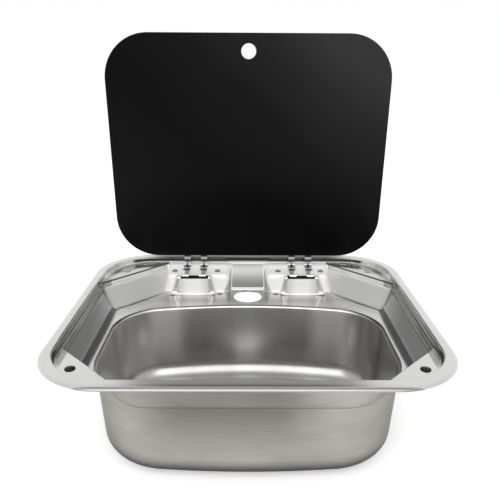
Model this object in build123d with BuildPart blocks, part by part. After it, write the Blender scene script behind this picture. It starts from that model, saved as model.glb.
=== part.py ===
from build123d import *
from math import sqrt, sin, cos, radians, atan2, tan
import os

os.makedirs("parts", exist_ok=True)

# ---------------------------------------------------------------------------
# Driving dimensions, millimetres.
# X runs to the right, Y from the front edge to the hinge side, Z up.
# Z = 0 is the worktop surface that the rim rests on; X = Y = 0 is the centre
# of the rim. Depths below the rim's top face are written as negative heights
# and turned into Z with lv().
# ---------------------------------------------------------------------------
RIM_W, RIM_D = 420.0, 370.0        # outer size of the rim
RIM_R = 73.0                       # outer corner radius of the rim
RIM_ROLL = 5.0                     # width of the rolled-down edge
RIM_LIP = 2.8                      # height of the rolled-down edge
SHEET = 1.0                        # sheet thickness

SEAT_W = 396.0                     # lid seat: width at the rim's top face
SEAT_MARGIN = 16.5                 # rim width at front and back
SEAT_R = 61.0                      # corner radius of the lid seat
SEAT_DEPTH = 8.0                   # depth of the deck and the corner shelves
SEAT_EDGE_R = 1.2                  # radius where the rim turns down into the seat

LEDGE_DEPTH = 34.0                 # depth of the ledge around the bowl
CREASE_DEPTH = 16.0                # depth of the crease along each side wall
SIDE_TOP, SIDE_MID, SIDE_LOW = 196.0, 194.0, 175.0   # half widths
FRONT_TOP, FRONT_LOW = 18.5, 20.0  # front wall, from the rim's front edge
DIAG_F_TOP, DIAG_F_LOW = 104.0, 92.0     # front corner walls: |x| - y
DIAG_R_TOP, DIAG_R_MID, DIAG_R_LOW = 466.0, 463.0, 415.0    # rear corner panels: |x| + y
DECK_TOP, DECK_LOW = 303.0, 299.0  # front wall of the hinge deck
DECK_HALF = 112.0                  # half width of the hinge deck at its front

PAD_X = (51.6, 100.0)              # hinge pad, top edge
PAD_X_LOW = (45.6, 108.0)          # hinge pad, foot
PAD_Y, PAD_Y_LOW = 293.5, 291.0    # hinge pad, front face
CORNER_R, CREASE_R, FOOT_R = 8.0, 6.0, 4.0   # fillets of the basin
SLOT_X = (55.5, 94.0)              # hinge slot, cut through the top front edge of its pad
SLOT_BACK, SLOT_SILL = 302.6, 10.6 # its rear edge, and the depth of its sill in the front face
HOOK_Y = 299.2                     # front of the straps, where they go down through the slot

TAP_Y = 286.0                      # tap hole centre, from the rim's front edge
TAP_R = 19.5
TAP_HALF = 23.4                    # tap recess half width at its foot

BOWL_HW = 166.4                    # bowl: outer half width at its top
BOWL_FRONT, BOWL_BACK = 31.2, 257.0
BOWL_RF, BOWL_RB = 82.0, 60.0      # corner radii
BOWL_AF, BOWL_AB = 990.0, 620.0    # bow of the front and back walls
BOWL_FLOOR = 132.5                 # depth of the floor's underside
BOWL_FILLET = 20.0                 # radius where wall meets floor
DRAFT_SIDE, DRAFT_FRONT, DRAFT_BACK = tan(radians(3.5)), tan(radians(4.1)), tan(radians(2.8))
WASTE_R, WASTE_DISH_R, WASTE_DISH = 22.5, 31.0, 2.5
WASTE_Y = 144.0

LID_W, LID_H, LID_R, LID_T = 371.4, 302.2, 58.0, 5.0
LID_EDGE_Y, LID_EDGE_Z = 334.76, 9.5     # open lid: lower edge of the inner face
LID_LEAN = 3.17                    # open lid: degrees towards the front
FINGER_R, FINGER_FROM_TOP = 9.5, 22.0

PIVOT_Y, PIVOT_Z = 336.44, -5.13   # hinge axis
PIN_R, EYE_R = 1.5, 2.8
STRAP_W, STRAP_T = 9.7, 1.5
STRAP_X = (63.9, 88.0)             # centres of the two straps of a hinge
EYE_W = 3.1                        # width of each knuckle of a strap
SCREW_X = (43.4, 104.4)
SCREW_Y = 318.0
BUMPER_FRONT = (174.0, 48.0)
BUMPER_REAR = (172.5, 317.5)
BUMPER_R, BUMPER_H = 5.35, 1.7


def lv(depth_z):
    """Height above the worktop of a level measured from the rim's top face."""
    return depth_z + RIM_LIP


def yy(y):
    """Y of a distance measured from the rim's front edge."""
    return y - RIM_D / 2


def horizontal(z):
    return Plane.XY.offset(lv(z))


# ---------------------------------------------------------------------------
# The hollow of the tray, grown by d on every side. d = 0 is the face that
# is seen, d = SHEET is the back of the sheet. Every wall is a plane through
# three points, so that its corners take true fillets.
# ---------------------------------------------------------------------------
TOP, MID, LOW = -SEAT_DEPTH, -CREASE_DEPTH, -LEDGE_DEPTH


def wall_plane(points, inside, push):
    """Plane through three points, normal away from `inside`, pushed along it."""
    a, b, c = (Vector(x, yy(y), lv(z)) for x, y, z in points)
    n = (b - a).cross(c - a).normalized()
    if (Vector(inside[0], yy(inside[1]), lv(inside[2])) - a).dot(n) > 0:
        n = n * -1
    return Plane(origin=a + n * push, z_dir=n)


def cut_by(plane):
    """Everything on the outer side of a wall plane."""
    with BuildPart() as far_side:
        with BuildSketch(plane):
            Rectangle(1400, 1400)
        extrude(amount=400)
    return far_side.part


def level(e):
    return abs((e @ 0).Z - (e @ 1).Z) < 1e-3 and abs((e @ 0).Z - (e @ 0.5).Z) < 1e-3


def at_z(e, z):
    return level(e) and abs((e @ 0).Z - z) < 1e-3


def basin_shape(d):
    """The basin below the shelves: sloped walls, creased sides, cut corners."""
    walls = [((0, FRONT_TOP, TOP), (1, FRONT_TOP, TOP), (0, FRONT_LOW, LOW))]
    for s in (1, -1):
        walls += [
            ((s * SIDE_TOP, 0, TOP), (s * SIDE_TOP, 1, TOP), (s * SIDE_MID, 0, MID)),
            ((s * SIDE_MID, 0, MID), (s * SIDE_MID, 1, MID), (s * SIDE_LOW, 0, LOW)),
            ((s * DIAG_F_TOP, 0, TOP), (s * (DIAG_F_TOP + 1), 1, TOP), (s * DIAG_F_LOW, 0, LOW)),
            ((s * DIAG_R_MID, 0, MID), (s * (DIAG_R_MID - 1), 1, MID), (s * DIAG_R_LOW, 0, LOW)),
        ]
    floor, roof = lv(LOW - d), lv(TOP - d)
    with BuildPart() as basin:
        with Locations((0, 0, floor)):
            Box(700, 700, roof - floor, align=(Align.CENTER, Align.CENTER, Align.MIN))
        for w in walls:
            add(cut_by(wall_plane(w, (0, 180, -25), d)), mode=Mode.SUBTRACT)
        corners = [e for e in basin.edges() if not level(e) and (e @ 0.5).Y < 170]
        fillet(corners, CORNER_R + d)
        creases = [e for e in basin.edges() if level(e) and floor + 0.5 < (e @ 0).Z < roof - 0.5 and abs((e @ 0.5).X) > 180]
        fillet(creases, CREASE_R + d)
        fillet([e for e in basin.edges() if at_z(e, floor)], FOOT_R + d)
        # steep strip above the crease of each rear corner panel
        for s in (1, -1):
            strip = ((s * DIAG_R_TOP, 0, TOP), (s * (DIAG_R_TOP - 1), 1, TOP), (s * DIAG_R_MID, 0, MID))
            add(cut_by(wall_plane(strip, (0, 180, -25), d)), mode=Mode.SUBTRACT)
    return basin.part


def block_shape(half_top, half_low, centre, front_top, front_low, flare, d):
    """A block that stands up from the ledge: the deck, or one hinge pad."""
    walls = [((0, front_top, TOP), (1, front_top, TOP), (0, front_low, LOW))]
    for s in (1, -1):
        walls.append((
            (centre + s * half_top, DECK_LOW, TOP), (centre + s * (half_top + flare), DECK_LOW + 10, TOP),
            (centre + s * half_low, DECK_LOW, LOW),
        ))
    floor, roof = lv(LOW - d), lv(TOP - d)
    with BuildPart() as block:
        with Locations((0, yy(460), floor)):
            Box(700, 400, roof - floor, align=(Align.CENTER, Align.CENTER, Align.MIN))
        for w in walls:
            add(cut_by(wall_plane(w, (centre, front_low + 40, -25), -d)), mode=Mode.SUBTRACT)
    return block.part


def deck_shape(d):
    """Hinge deck with its two pads, convex edges rounded."""
    roof = lv(TOP - d)
    half_t, half_l = (PAD_X[1] - PAD_X[0]) / 2, (PAD_X_LOW[1] - PAD_X_LOW[0]) / 2
    centre = (PAD_X[0] + PAD_X[1] + PAD_X_LOW[0] + PAD_X_LOW[1]) / 4
    with BuildPart() as deck:
        add(block_shape(DECK_HALF, DECK_HALF, 0, DECK_TOP, DECK_LOW, 1.0, d))
        for s in (1, -1):
            add(block_shape(half_t, half_l, s * centre, PAD_Y, PAD_Y_LOW, 0.0, d))
        upright = [e for e in deck.edges() if not level(e) and (e @ 0.5).Y < 250]
        fillet([e for e in upright if min((e @ 0).Y, (e @ 1).Y) < 110 or abs((e @ 0.5).X) > 109], 3.0 - d)
        fillet([e for e in deck.edges() if at_z(e, roof) and (e @ 0.5).Y < 200], 2.5 - d)
    return deck.part


def recess_shape(d):
    """Tap recess: a concave back wall that runs down to the ledge."""
    low = LOW - d
    with BuildPart() as recess:
        with BuildSketch(Plane.YZ):
            with BuildLine():
                a = (yy(352.0 + 0.4 * d), lv(TOP - 0.9 * d))
                b = (yy(334.0 + 0.7 * d), lv(-20.5 - 0.7 * d))
                c = (yy(317.0 + 0.3 * d), lv(-29.0 - 0.95 * d))
                ThreePointArc(a, b, c)
                e = (yy(312.5 + 0.4 * d), lv(-29.8 - 0.9 * d))
                f = (yy(308.5 + 0.9 * d), lv(low))
                g = (yy(290.0), lv(low))
                h = (yy(290.0), lv(0.5))
                k = (yy(352.0 + 0.4 * d), lv(0.5))
                Polyline(c, e, f, g, h, k, a)
            make_face()
        extrude(amount=60, both=True)
        for s in (1, -1):
            w = ((s * 26.0, 356, 1.0), (s * 40.0, 290, 1.0), (s * (TAP_HALF - 0.4), 356, LOW))
            add(cut_by(wall_plane(w, (0, 320, -20), d)), mode=Mode.SUBTRACT)
    return recess.part


def hollow(d, above=4.0):
    floor, roof = lv(LOW - d), lv(TOP - d)
    with BuildPart() as whole:
        add(basin_shape(d))
        add(deck_shape(d), mode=Mode.SUBTRACT)
        if d == 0:
            foot = [e for e in whole.edges() if at_z(e, floor) and (e @ 0.5).Y > 99 and 44 < abs((e @ 0.5).X) < 108]
            fillet(foot, 3.0)
        add(recess_shape(d))
        with BuildSketch(Plane.XY.offset(roof)):
            RectangleRounded(SEAT_W + 2 * d, RIM_D - 2 * SEAT_MARGIN + 2 * d, SEAT_R + d)
        extrude(amount=SEAT_DEPTH + d + above)
    return whole.part


def bowl_outline(inset):
    """Closed outline of the bowl, inset from its outer wall."""
    return outline(BOWL_HW - inset, BOWL_FRONT + inset, BOWL_BACK - inset, BOWL_RF - inset, BOWL_RB - inset, BOWL_AF - inset, BOWL_AB - inset)


def outline(hw, yf, yb, rf, rb, af, ab):
    yc = yf + af - sqrt((af - rf) ** 2 - (hw - rf) ** 2)
    ya = yb - ab + sqrt((ab - rb) ** 2 - (hw - rb) ** 2)
    a1 = atan2(yc - (yf + af), hw - rf)
    a2 = atan2(ya - (yb - ab), hw - rb)

    def at(cx, cy, r, a):
        return (cx + r * cos(a), yy(cy + r * sin(a)))

    f_right = at(0, yf + af, af, a1)
    f_left = (-f_right[0], f_right[1])
    b_right = at(0, yb - ab, ab, a2)
    b_left = (-b_right[0], b_right[1])
    cr_mid = at(hw - rf, yc, rf, a1 / 2)
    br_mid = at(hw - rb, ya, rb, a2 / 2)
    with BuildSketch() as shape:
        with BuildLine():
            ThreePointArc(f_left, (0, yy(yf)), f_right)
            ThreePointArc(f_right, cr_mid, (hw, yy(yc)))
            Line((hw, yy(yc)), (hw, yy(ya)))
            ThreePointArc((hw, yy(ya)), br_mid, b_right)
            ThreePointArc(b_right, (0, yy(yb)), b_left)
            ThreePointArc(b_left, (-br_mid[0], br_mid[1]), (-hw, yy(ya)))
            Line((-hw, yy(ya)), (-hw, yy(yc)))
            ThreePointArc((-hw, yy(yc)), (-cr_mid[0], cr_mid[1]), f_left)
        make_face()
    return shape.sketch


# ---------------------------------------------------------------------------
# Rim tray: rolled rim, lid seat, hinge deck, corner shelves, ledge.
# ---------------------------------------------------------------------------
def rim_roll():
    """The edge of the rim, rolled down on a quarter of an ellipse."""
    hw, hd, r = RIM_W / 2 - RIM_ROLL, RIM_D / 2 - RIM_ROLL, RIM_R - RIM_ROLL
    k = r * (1 - sqrt(0.5))
    with BuildPart() as roll:
        with BuildLine() as path:
            Line((hw, 0, lv(0)), (hw, hd - r, lv(0)))
            for sx, sy in ((1, 1), (-1, 1), (-1, -1), (1, -1)):
                ends = [(sx * hw, sy * (hd - r), lv(0)), (sx * (hw - r), sy * hd, lv(0))]
                if sx * sy < 0:
                    ends.reverse()
                ThreePointArc(ends[0], (sx * (hw - k), sy * (hd - k), lv(0)), ends[1])
                if (sx, sy) == (1, 1):
                    Line(ends[1], (-ends[1][0], ends[1][1], lv(0)))
                elif (sx, sy) == (-1, 1):
                    Line(ends[1], (ends[1][0], -ends[1][1], lv(0)))
                elif (sx, sy) == (-1, -1):
                    Line(ends[1], (-ends[1][0], ends[1][1], lv(0)))
                else:
                    Line(ends[1], (hw, 0, lv(0)))
        with BuildSketch(Plane(origin=(hw, 0, lv(0)), x_dir=(1, 0, 0), z_dir=(0, -1, 0))):
            with BuildLine():
                w, h, t = RIM_ROLL, RIM_LIP, SHEET
                n = 6
                for a, b, up in ((w, h, False), (w - t, h - t, True)):
                    pts = [(a * sin(radians(90 * i / n)), b * cos(radians(90 * i / n)) - h) for i in range(n + 1)]
                    Spline(pts, tangents=[(1, 0), (0, -1)])
                Line((0, 0), (0, -t))
                Line((w - t, -h), (w, -h))
            make_face()
        sweep(path=path.wires()[0])
    return roll.part


inner = hollow(0.0)
outer = hollow(SHEET, above=-0.5)

with BuildPart() as rim_tray:
    # flat top of the rim
    with BuildSketch(horizontal(-SHEET)):
        RectangleRounded(RIM_W - 2 * RIM_ROLL, RIM_D - 2 * RIM_ROLL, RIM_R - RIM_ROLL)
    extrude(amount=SHEET)
    # its edge, rolled down on a quarter of an ellipse
    add(rim_roll())
    add(outer)
    add(inner, mode=Mode.SUBTRACT)
    seat_edge = [e for e in rim_tray.edges() if at_z(e, lv(0)) and abs((e @ 0.5).X) < 199 and abs((e @ 0.5).Y) < 170]
    fillet([e for e in seat_edge if abs((e @ 0.5).X) + abs((e @ 0.5).Y) < 335], SEAT_EDGE_R)
    # opening over the bowl, tap hole
    with BuildSketch(horizontal(-LEDGE_DEPTH - 3)):
        add(bowl_outline(-2.0))
    extrude(amount=6, mode=Mode.SUBTRACT)
    with Locations((0, yy(TAP_Y), lv(-LEDGE_DEPTH))):
        Hole(TAP_R, depth=6)
    # slots for the straps, screw holes, bumper holes
    with BuildSketch(horizontal(-SLOT_SILL)):
        for s in (1, -1):
            with Locations((s * (SLOT_X[0] + SLOT_X[1]) / 2, yy(SLOT_BACK - 8))):
                RectangleRounded(SLOT_X[1] - SLOT_X[0], 16, 2.5)
    extrude(amount=6, mode=Mode.SUBTRACT)
    with BuildSketch(horizontal(-SEAT_DEPTH - 4)):
        for s in (1, -1):
            for x in SCREW_X:
                with Locations((s * x, yy(SCREW_Y))):
                    Circle(2.2)
            for x, y in (BUMPER_FRONT, BUMPER_REAR):
                with Locations((s * x, yy(y))):
                    Circle(2.5)
    extrude(amount=6, mode=Mode.SUBTRACT)


# ---------------------------------------------------------------------------
# Bowl: flange under the ledge, rounded shoulder, drafted walls, filleted
# floor with a shallow dish around the waste hole. Outer and inner faces are
# stacks of the same outline.
# ---------------------------------------------------------------------------
BOWL_TOP = -LEDGE_DEPTH - SHEET
LEVELS = [(0.0, 0.0)]
for k in range(1, 7):
    a = radians(15 * k)
    LEVELS.append((sin(a), 1 - cos(a)))


def bowl_ring(z, inset):
    fall = max(0.0, BOWL_TOP - z)
    return outline(
        BOWL_HW - inset - fall * DRAFT_SIDE,
        BOWL_FRONT + inset + fall * DRAFT_FRONT,
        BOWL_BACK - inset - fall * DRAFT_BACK,
        BOWL_RF - inset - fall * DRAFT_SIDE,
        BOWL_RB - inset - fall * DRAFT_SIDE,
        BOWL_AF - inset,
        BOWL_AB - inset,
    )


def bowl_stack(inset, floor, radius, shoulder):
    """(z, inset) pairs from the shoulder down to the flat of the floor."""
    pairs = [(BOWL_TOP + shoulder[0], inset - shoulder[1])]
    pairs += [(BOWL_TOP - 0.9, inset - 0.75), (BOWL_TOP - 3.2, inset)]
    for s_, c_ in LEVELS:
        pairs.append((-floor + radius - radius * s_, inset + radius * c_))
    return pairs


with BuildPart() as bowl:
    for z, inset in bowl_stack(0.0, BOWL_FLOOR, BOWL_FILLET, (0.0, 1.5)):
        with BuildSketch(horizontal(z)):
            add(bowl_ring(z, inset))
    loft(ruled=True)
    # flange that lies against the underside of the ledge
    with BuildSketch(horizontal(BOWL_TOP - SHEET)):
        add(bowl_outline(-5.5))
    extrude(amount=SHEET)
    # shallow dish around the waste hole
    with Locations((0, yy(WASTE_Y), lv(-BOWL_FLOOR - WASTE_DISH))):
        Cone(WASTE_DISH_R - 3, WASTE_DISH_R + 3, WASTE_DISH + 1.5, align=(Align.CENTER, Align.CENTER, Align.MIN))
    with BuildPart(mode=Mode.PRIVATE) as bowl_inside:
        for z, inset in bowl_stack(SHEET, BOWL_FLOOR - SHEET, BOWL_FILLET - SHEET, (0.0, 2.6)):
            with BuildSketch(horizontal(z)):
                add(bowl_ring(z, inset))
        loft(ruled=True)
        with Locations((0, yy(WASTE_Y), lv(-BOWL_FLOOR - WASTE_DISH + SHEET))):
            Cone(WASTE_DISH_R - 3.4, WASTE_DISH_R + 2.6, WASTE_DISH + 1.5, align=(Align.CENTER, Align.CENTER, Align.MIN))
    add(bowl_inside.part, mode=Mode.SUBTRACT)
    with Locations((0, yy(WASTE_Y), lv(-BOWL_FLOOR))):
        Hole(WASTE_R, depth=20)

# ---------------------------------------------------------------------------
# Foam gasket under the rim, just inside the rolled edge.
# ---------------------------------------------------------------------------
with BuildPart() as rim_seal:
    with BuildSketch(horizontal(-RIM_LIP)):
        RectangleRounded(RIM_W - 11, RIM_D - 11, RIM_R - 5.5)
        RectangleRounded(RIM_W - 20, RIM_D - 20, RIM_R - 10, mode=Mode.SUBTRACT)
    extrude(amount=RIM_LIP - SHEET)

# ---------------------------------------------------------------------------
# Rubber bumpers: domed head on the shelf, stem through it, barb below.
# ---------------------------------------------------------------------------
def bumper(x, y):
    with BuildPart() as b:
        with BuildSketch(Plane.XZ):
            with BuildLine():
                Polyline((0, -4.2), (1.6, -4.2), (3.1, -2.6), (3.1, -1.0), (2.4, -1.0), (2.4, 0), (BUMPER_R, 0), (BUMPER_R, 0.5))
                dome = (BUMPER_R ** 2 + (BUMPER_H - 0.5) ** 2) / (2 * (BUMPER_H - 0.5))
                half = atan2(BUMPER_R, dome - BUMPER_H + 0.5) / 2
                ThreePointArc((BUMPER_R, 0.5), (dome * sin(half), BUMPER_H - dome + dome * cos(half)), (0, BUMPER_H))
                Line((0, BUMPER_H), (0, -4.2))
            make_face()
        revolve(axis=Axis.Z)
    return b.part.moved(Location((x, yy(y), lv(-SEAT_DEPTH))))


with BuildPart() as bumper_front_left:
    add(bumper(-BUMPER_FRONT[0], BUMPER_FRONT[1]))
with BuildPart() as bumper_front_right:
    add(bumper(BUMPER_FRONT[0], BUMPER_FRONT[1]))
with BuildPart() as bumper_rear_left:
    add(bumper(-BUMPER_REAR[0], BUMPER_REAR[1]))
with BuildPart() as bumper_rear_right:
    add(bumper(BUMPER_REAR[0], BUMPER_REAR[1]))

# ---------------------------------------------------------------------------
# Lid frame of reference: u runs up the glass from its lower edge, v out of
# its outer face; v = 0 is the inner face that looks at the bowl.
# ---------------------------------------------------------------------------
LID_PLANE = Plane(
    origin=(0, yy(LID_EDGE_Y), lv(LID_EDGE_Z)),
    x_dir=(1, 0, 0),
    z_dir=(0, cos(radians(LID_LEAN)), sin(radians(LID_LEAN))),
)
# side view of the lid: local x = u, local y = v, normal along -X or +X
U_DIR = (0, -sin(radians(LID_LEAN)), cos(radians(LID_LEAN)))


def side_plane(x):
    """Plane across the hinge at x: local x is u, local y is v, normal -X."""
    return Plane(origin=(x, yy(LID_EDGE_Y), lv(LID_EDGE_Z)), x_dir=U_DIR, z_dir=(-1, 0, 0))


def pivot_uv():
    dy, dz = PIVOT_Y - LID_EDGE_Y, PIVOT_Z - LID_EDGE_Z
    s_, c_ = sin(radians(LID_LEAN)), cos(radians(LID_LEAN))
    return (-dy * s_ + dz * c_, dy * c_ + dz * s_)


PU, PV = pivot_uv()

with BuildPart() as glass_lid:
    # local Y of this plane points down the glass
    with BuildSketch(LID_PLANE):
        with Locations((0, -LID_H / 2)):
            RectangleRounded(LID_W, LID_H, LID_R)
        with Locations((0, -(LID_H - FINGER_FROM_TOP))):
            Circle(FINGER_R, mode=Mode.SUBTRACT)
    extrude(amount=LID_T)
    rims = glass_lid.faces().filter_by(Plane(LID_PLANE.origin, z_dir=LID_PLANE.z_dir)).edges()
    chamfer(rims, 0.6)

# ---------------------------------------------------------------------------
# Hinges
# ---------------------------------------------------------------------------
DECK_Z = lv(-SEAT_DEPTH)
PIV = (yy(PIVOT_Y), lv(PIVOT_Z))


def strap(x):
    """Fixed strap: knuckle, flat on the deck, hook down through the slot, tongue."""
    t = STRAP_T
    top = DECK_Z + t
    y_hook = yy(HOOK_Y)
    under = DECK_Z - SHEET
    with BuildPart() as s:
        with BuildSketch(Plane.YZ.offset(x - STRAP_W / 2)):
            with BuildLine():
                Polyline(
                    (PIV[0], DECK_Z), (y_hook + t + 1.5, DECK_Z), (y_hook + t, DECK_Z - 0.5), (y_hook + t, under),
                    (yy(319.0), under), (yy(319.0), under - t), (y_hook + 1.2, under - t), (y_hook, under - t + 1.2),
                    (y_hook, top - 2.2), (y_hook + 0.7, top - 0.7), (y_hook + 2.2, top), (PIV[0], top), (PIV[0], DECK_Z),
                )
            make_face()
        extrude(amount=STRAP_W)
        with BuildSketch(Plane.YZ.offset(x - STRAP_W / 2)):
            with Locations(PIV):
                Circle(EYE_R)
        extrude(amount=STRAP_W)
        # gap for the moving knuckle, which turns about the same pin
        with BuildSketch(Plane.YZ.offset(x - (STRAP_W / 2 - EYE_W))):
            with Locations(PIV):
                Rectangle(2 * EYE_R + 1.4, 2 * EYE_R + 1.4)
        extrude(amount=STRAP_W - 2 * EYE_W, mode=Mode.SUBTRACT)
        with BuildSketch(Plane.YZ.offset(x - STRAP_W / 2)):
            with Locations(PIV):
                Circle(PIN_R)
        extrude(amount=STRAP_W, mode=Mode.SUBTRACT)
    return s.part


with BuildPart() as hinge_strap_left_outer:
    add(strap(-STRAP_X[1]))
with BuildPart() as hinge_strap_left_inner:
    add(strap(-STRAP_X[0]))
with BuildPart() as hinge_strap_right_inner:
    add(strap(STRAP_X[0]))
with BuildPart() as hinge_strap_right_outer:
    add(strap(STRAP_X[1]))


def pins(side):
    """Two short pins with peened heads, one per strap."""
    with BuildPart() as p:
        for x in STRAP_X:
            with BuildSketch(Plane.YZ.offset(side * x - STRAP_W / 2 - 0.05)):
                with Locations(PIV):
                    Circle(PIN_R)
            extrude(amount=STRAP_W + 0.1)
            with BuildSketch(Plane.YZ.offset(side * x - STRAP_W / 2 - 0.6)):
                with Locations(PIV):
                    Circle(PIN_R + 0.6)
            extrude(amount=0.6)
            with BuildSketch(Plane.YZ.offset(side * x + STRAP_W / 2)):
                with Locations(PIV):
                    Circle(PIN_R + 0.6)
            extrude(amount=0.6)
    return p.part


with BuildPart() as hinge_pins_left:
    add(pins(-1))
with BuildPart() as hinge_pins_right:
    add(pins(1))

LEAF_V = LID_T + 0.5
LEAF_T = 1.5
LEAF_U = (2.0, 31.0)
CENTRE_EYE = STRAP_W - 2 * EYE_W - 0.4      # width of the moving knuckle


def arm_profile(plane, wide):
    """Side view of a moving arm: curl around the pin, then an S up to the leaf."""
    with BuildSketch(plane) as s:
        with BuildLine():
            v0 = PV + EYE_R - LEAF_T
            if wide:
                Polyline(
                    (PU + 4.2, v0), (-7.0, v0), (-2.0, LEAF_V), (LEAF_U[1], LEAF_V), (LEAF_U[1], LEAF_V + LEAF_T),
                    (-3.0, LEAF_V + LEAF_T), (-7.8, v0 + LEAF_T), (PU + 4.2, v0 + LEAF_T), (PU + 4.2, v0),
                )
            else:
                Polyline((PU, v0), (PU + 6.0, v0), (PU + 6.0, v0 + LEAF_T), (PU, v0 + LEAF_T), (PU, v0))
        make_face()
        if not wide:
            with Locations((PU, PV)):
                Circle(EYE_R)
                Circle(PIN_R + 0.04, mode=Mode.SUBTRACT)
    return s.sketch


def leaf(side):
    with BuildPart() as p:
        for x in STRAP_X:
            extrude(to_extrude=arm_profile(side_plane(side * x + CENTRE_EYE / 2), False), amount=CENTRE_EYE)
            extrude(to_extrude=arm_profile(side_plane(side * x + STRAP_W / 2), True), amount=STRAP_W)
        mid = side * (STRAP_X[0] + STRAP_X[1]) / 2
        half = (STRAP_X[1] - STRAP_X[0] + STRAP_W) / 2 + 2.0
        with BuildSketch(side_plane(mid + half)) as plate:
            with Locations(((LEAF_U[0] + LEAF_U[1]) / 2 + 1.5, LEAF_V + LEAF_T / 2)):
                Rectangle(LEAF_U[1] - LEAF_U[0] - 3.0, LEAF_T)
        extrude(amount=2 * half)
    return p.part


with BuildPart() as hinge_leaf_left:
    add(leaf(-1))
with BuildPart() as hinge_leaf_right:
    add(leaf(1))


def bond_pad(side):
    mid = side * (STRAP_X[0] + STRAP_X[1]) / 2
    half = (STRAP_X[1] - STRAP_X[0] + STRAP_W) / 2 + 1.0
    with BuildPart() as p:
        with BuildSketch(side_plane(mid + half)):
            with Locations(((LEAF_U[0] + LEAF_U[1]) / 2 + 1.5, LID_T + 0.25)):
                Rectangle(LEAF_U[1] - LEAF_U[0] - 5.0, 0.5)
        extrude(amount=2 * half)
    return p.part


with BuildPart() as leaf_bond_pad_left:
    add(bond_pad(-1))
with BuildPart() as leaf_bond_pad_right:
    add(bond_pad(1))

PLATE_Z = DECK_Z - SHEET - STRAP_T       # top of the backing plate
PLATE_T = 1.5


def backing_plate(side):
    with BuildPart() as p:
        with BuildSketch(Plane.XY.offset(PLATE_Z - PLATE_T)):
            with Locations((side * 74.0, yy(317.0))):
                RectangleRounded(70.0, 20.0, 2.0)
            # tongue under the slot, inside the pad
            with Locations((side * 74.8, yy(304.0))):
                RectangleRounded(40.0, 14.0, 2.0)
            for x in SCREW_X:
                with Locations((side * x, yy(SCREW_Y))):
                    Circle(2.1, mode=Mode.SUBTRACT)
        extrude(amount=PLATE_T)
    return p.part


with BuildPart() as hinge_backing_plate_left:
    add(backing_plate(-1))
with BuildPart() as hinge_backing_plate_right:
    add(backing_plate(1))


def screws(side):
    """Low pan heads with a cross recess, and their shanks."""
    with BuildPart() as p:
        for x in SCREW_X:
            with Locations((side * x, yy(SCREW_Y), DECK_Z)):
                Cylinder(3.8, 1.7, align=(Align.CENTER, Align.CENTER, Align.MIN))
        fillet(p.faces().filter_by(Axis.Z).group_by(Axis.Z)[-1].edges(), 1.1)
        for x in SCREW_X:
            with Locations((side * x, yy(SCREW_Y), DECK_Z + 1.7)):
                Box(4.0, 0.9, 2.0, mode=Mode.SUBTRACT)
                Box(0.9, 4.0, 2.0, mode=Mode.SUBTRACT)
            with Locations((side * x, yy(SCREW_Y), DECK_Z)):
                Cylinder(1.95, 9.0, align=(Align.CENTER, Align.CENTER, Align.MAX))
    return p.part


with BuildPart() as hinge_screws_left:
    add(screws(-1))
with BuildPart() as hinge_screws_right:
    add(screws(1))


def nuts(side):
    with BuildPart() as p:
        with BuildSketch(Plane.XY.offset(PLATE_Z - PLATE_T - 3.2)):
            for x in SCREW_X:
                with Locations((side * x, yy(SCREW_Y))):
                    RegularPolygon(4.04, 6)
                    Circle(2.0, mode=Mode.SUBTRACT)
        extrude(amount=3.2)
    return p.part


with BuildPart() as hinge_nuts_left:
    add(nuts(-1))
with BuildPart() as hinge_nuts_right:
    add(nuts(1))

# ---------------------------------------------------------------------------
# One STEP file per piece.
# ---------------------------------------------------------------------------
PIECES = {
    "rim_tray": rim_tray,
    "bowl": bowl,
    "rim_seal": rim_seal,
    "bumper_front_left": bumper_front_left,
    "bumper_front_right": bumper_front_right,
    "bumper_rear_left": bumper_rear_left,
    "bumper_rear_right": bumper_rear_right,
    "hinge_strap_left_outer": hinge_strap_left_outer,
    "hinge_strap_left_inner": hinge_strap_left_inner,
    "hinge_strap_right_inner": hinge_strap_right_inner,
    "hinge_strap_right_outer": hinge_strap_right_outer,
    "hinge_pins_left": hinge_pins_left,
    "hinge_pins_right": hinge_pins_right,
    "hinge_backing_plate_left": hinge_backing_plate_left,
    "hinge_backing_plate_right": hinge_backing_plate_right,
    "hinge_screws_left": hinge_screws_left,
    "hinge_screws_right": hinge_screws_right,
    "hinge_nuts_left": hinge_nuts_left,
    "hinge_nuts_right": hinge_nuts_right,
    "glass_lid": glass_lid,
    "hinge_leaf_left": hinge_leaf_left,
    "hinge_leaf_right": hinge_leaf_right,
    "leaf_bond_pad_left": leaf_bond_pad_left,
    "leaf_bond_pad_right": leaf_bond_pad_right,
}
for label, piece in PIECES.items():
    piece.part.label = label
    export_step(piece.part, f"parts/{label}.step")
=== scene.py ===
import math

import bmesh
import bpy
import mathutils
import numpy as np
from mathutils import Matrix, Vector


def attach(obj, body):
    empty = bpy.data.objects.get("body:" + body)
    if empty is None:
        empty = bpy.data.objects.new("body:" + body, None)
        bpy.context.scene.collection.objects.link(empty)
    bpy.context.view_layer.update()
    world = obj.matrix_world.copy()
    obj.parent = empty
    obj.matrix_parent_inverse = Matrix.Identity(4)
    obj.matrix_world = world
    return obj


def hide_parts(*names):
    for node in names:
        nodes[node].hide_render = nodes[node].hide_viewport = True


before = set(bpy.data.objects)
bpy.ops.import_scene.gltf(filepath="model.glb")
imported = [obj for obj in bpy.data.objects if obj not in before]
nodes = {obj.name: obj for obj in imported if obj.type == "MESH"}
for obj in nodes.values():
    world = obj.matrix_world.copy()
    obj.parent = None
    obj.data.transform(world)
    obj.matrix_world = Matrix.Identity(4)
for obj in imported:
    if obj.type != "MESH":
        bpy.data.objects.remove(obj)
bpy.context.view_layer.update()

SINK, LID = "sink", "lid"

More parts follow.
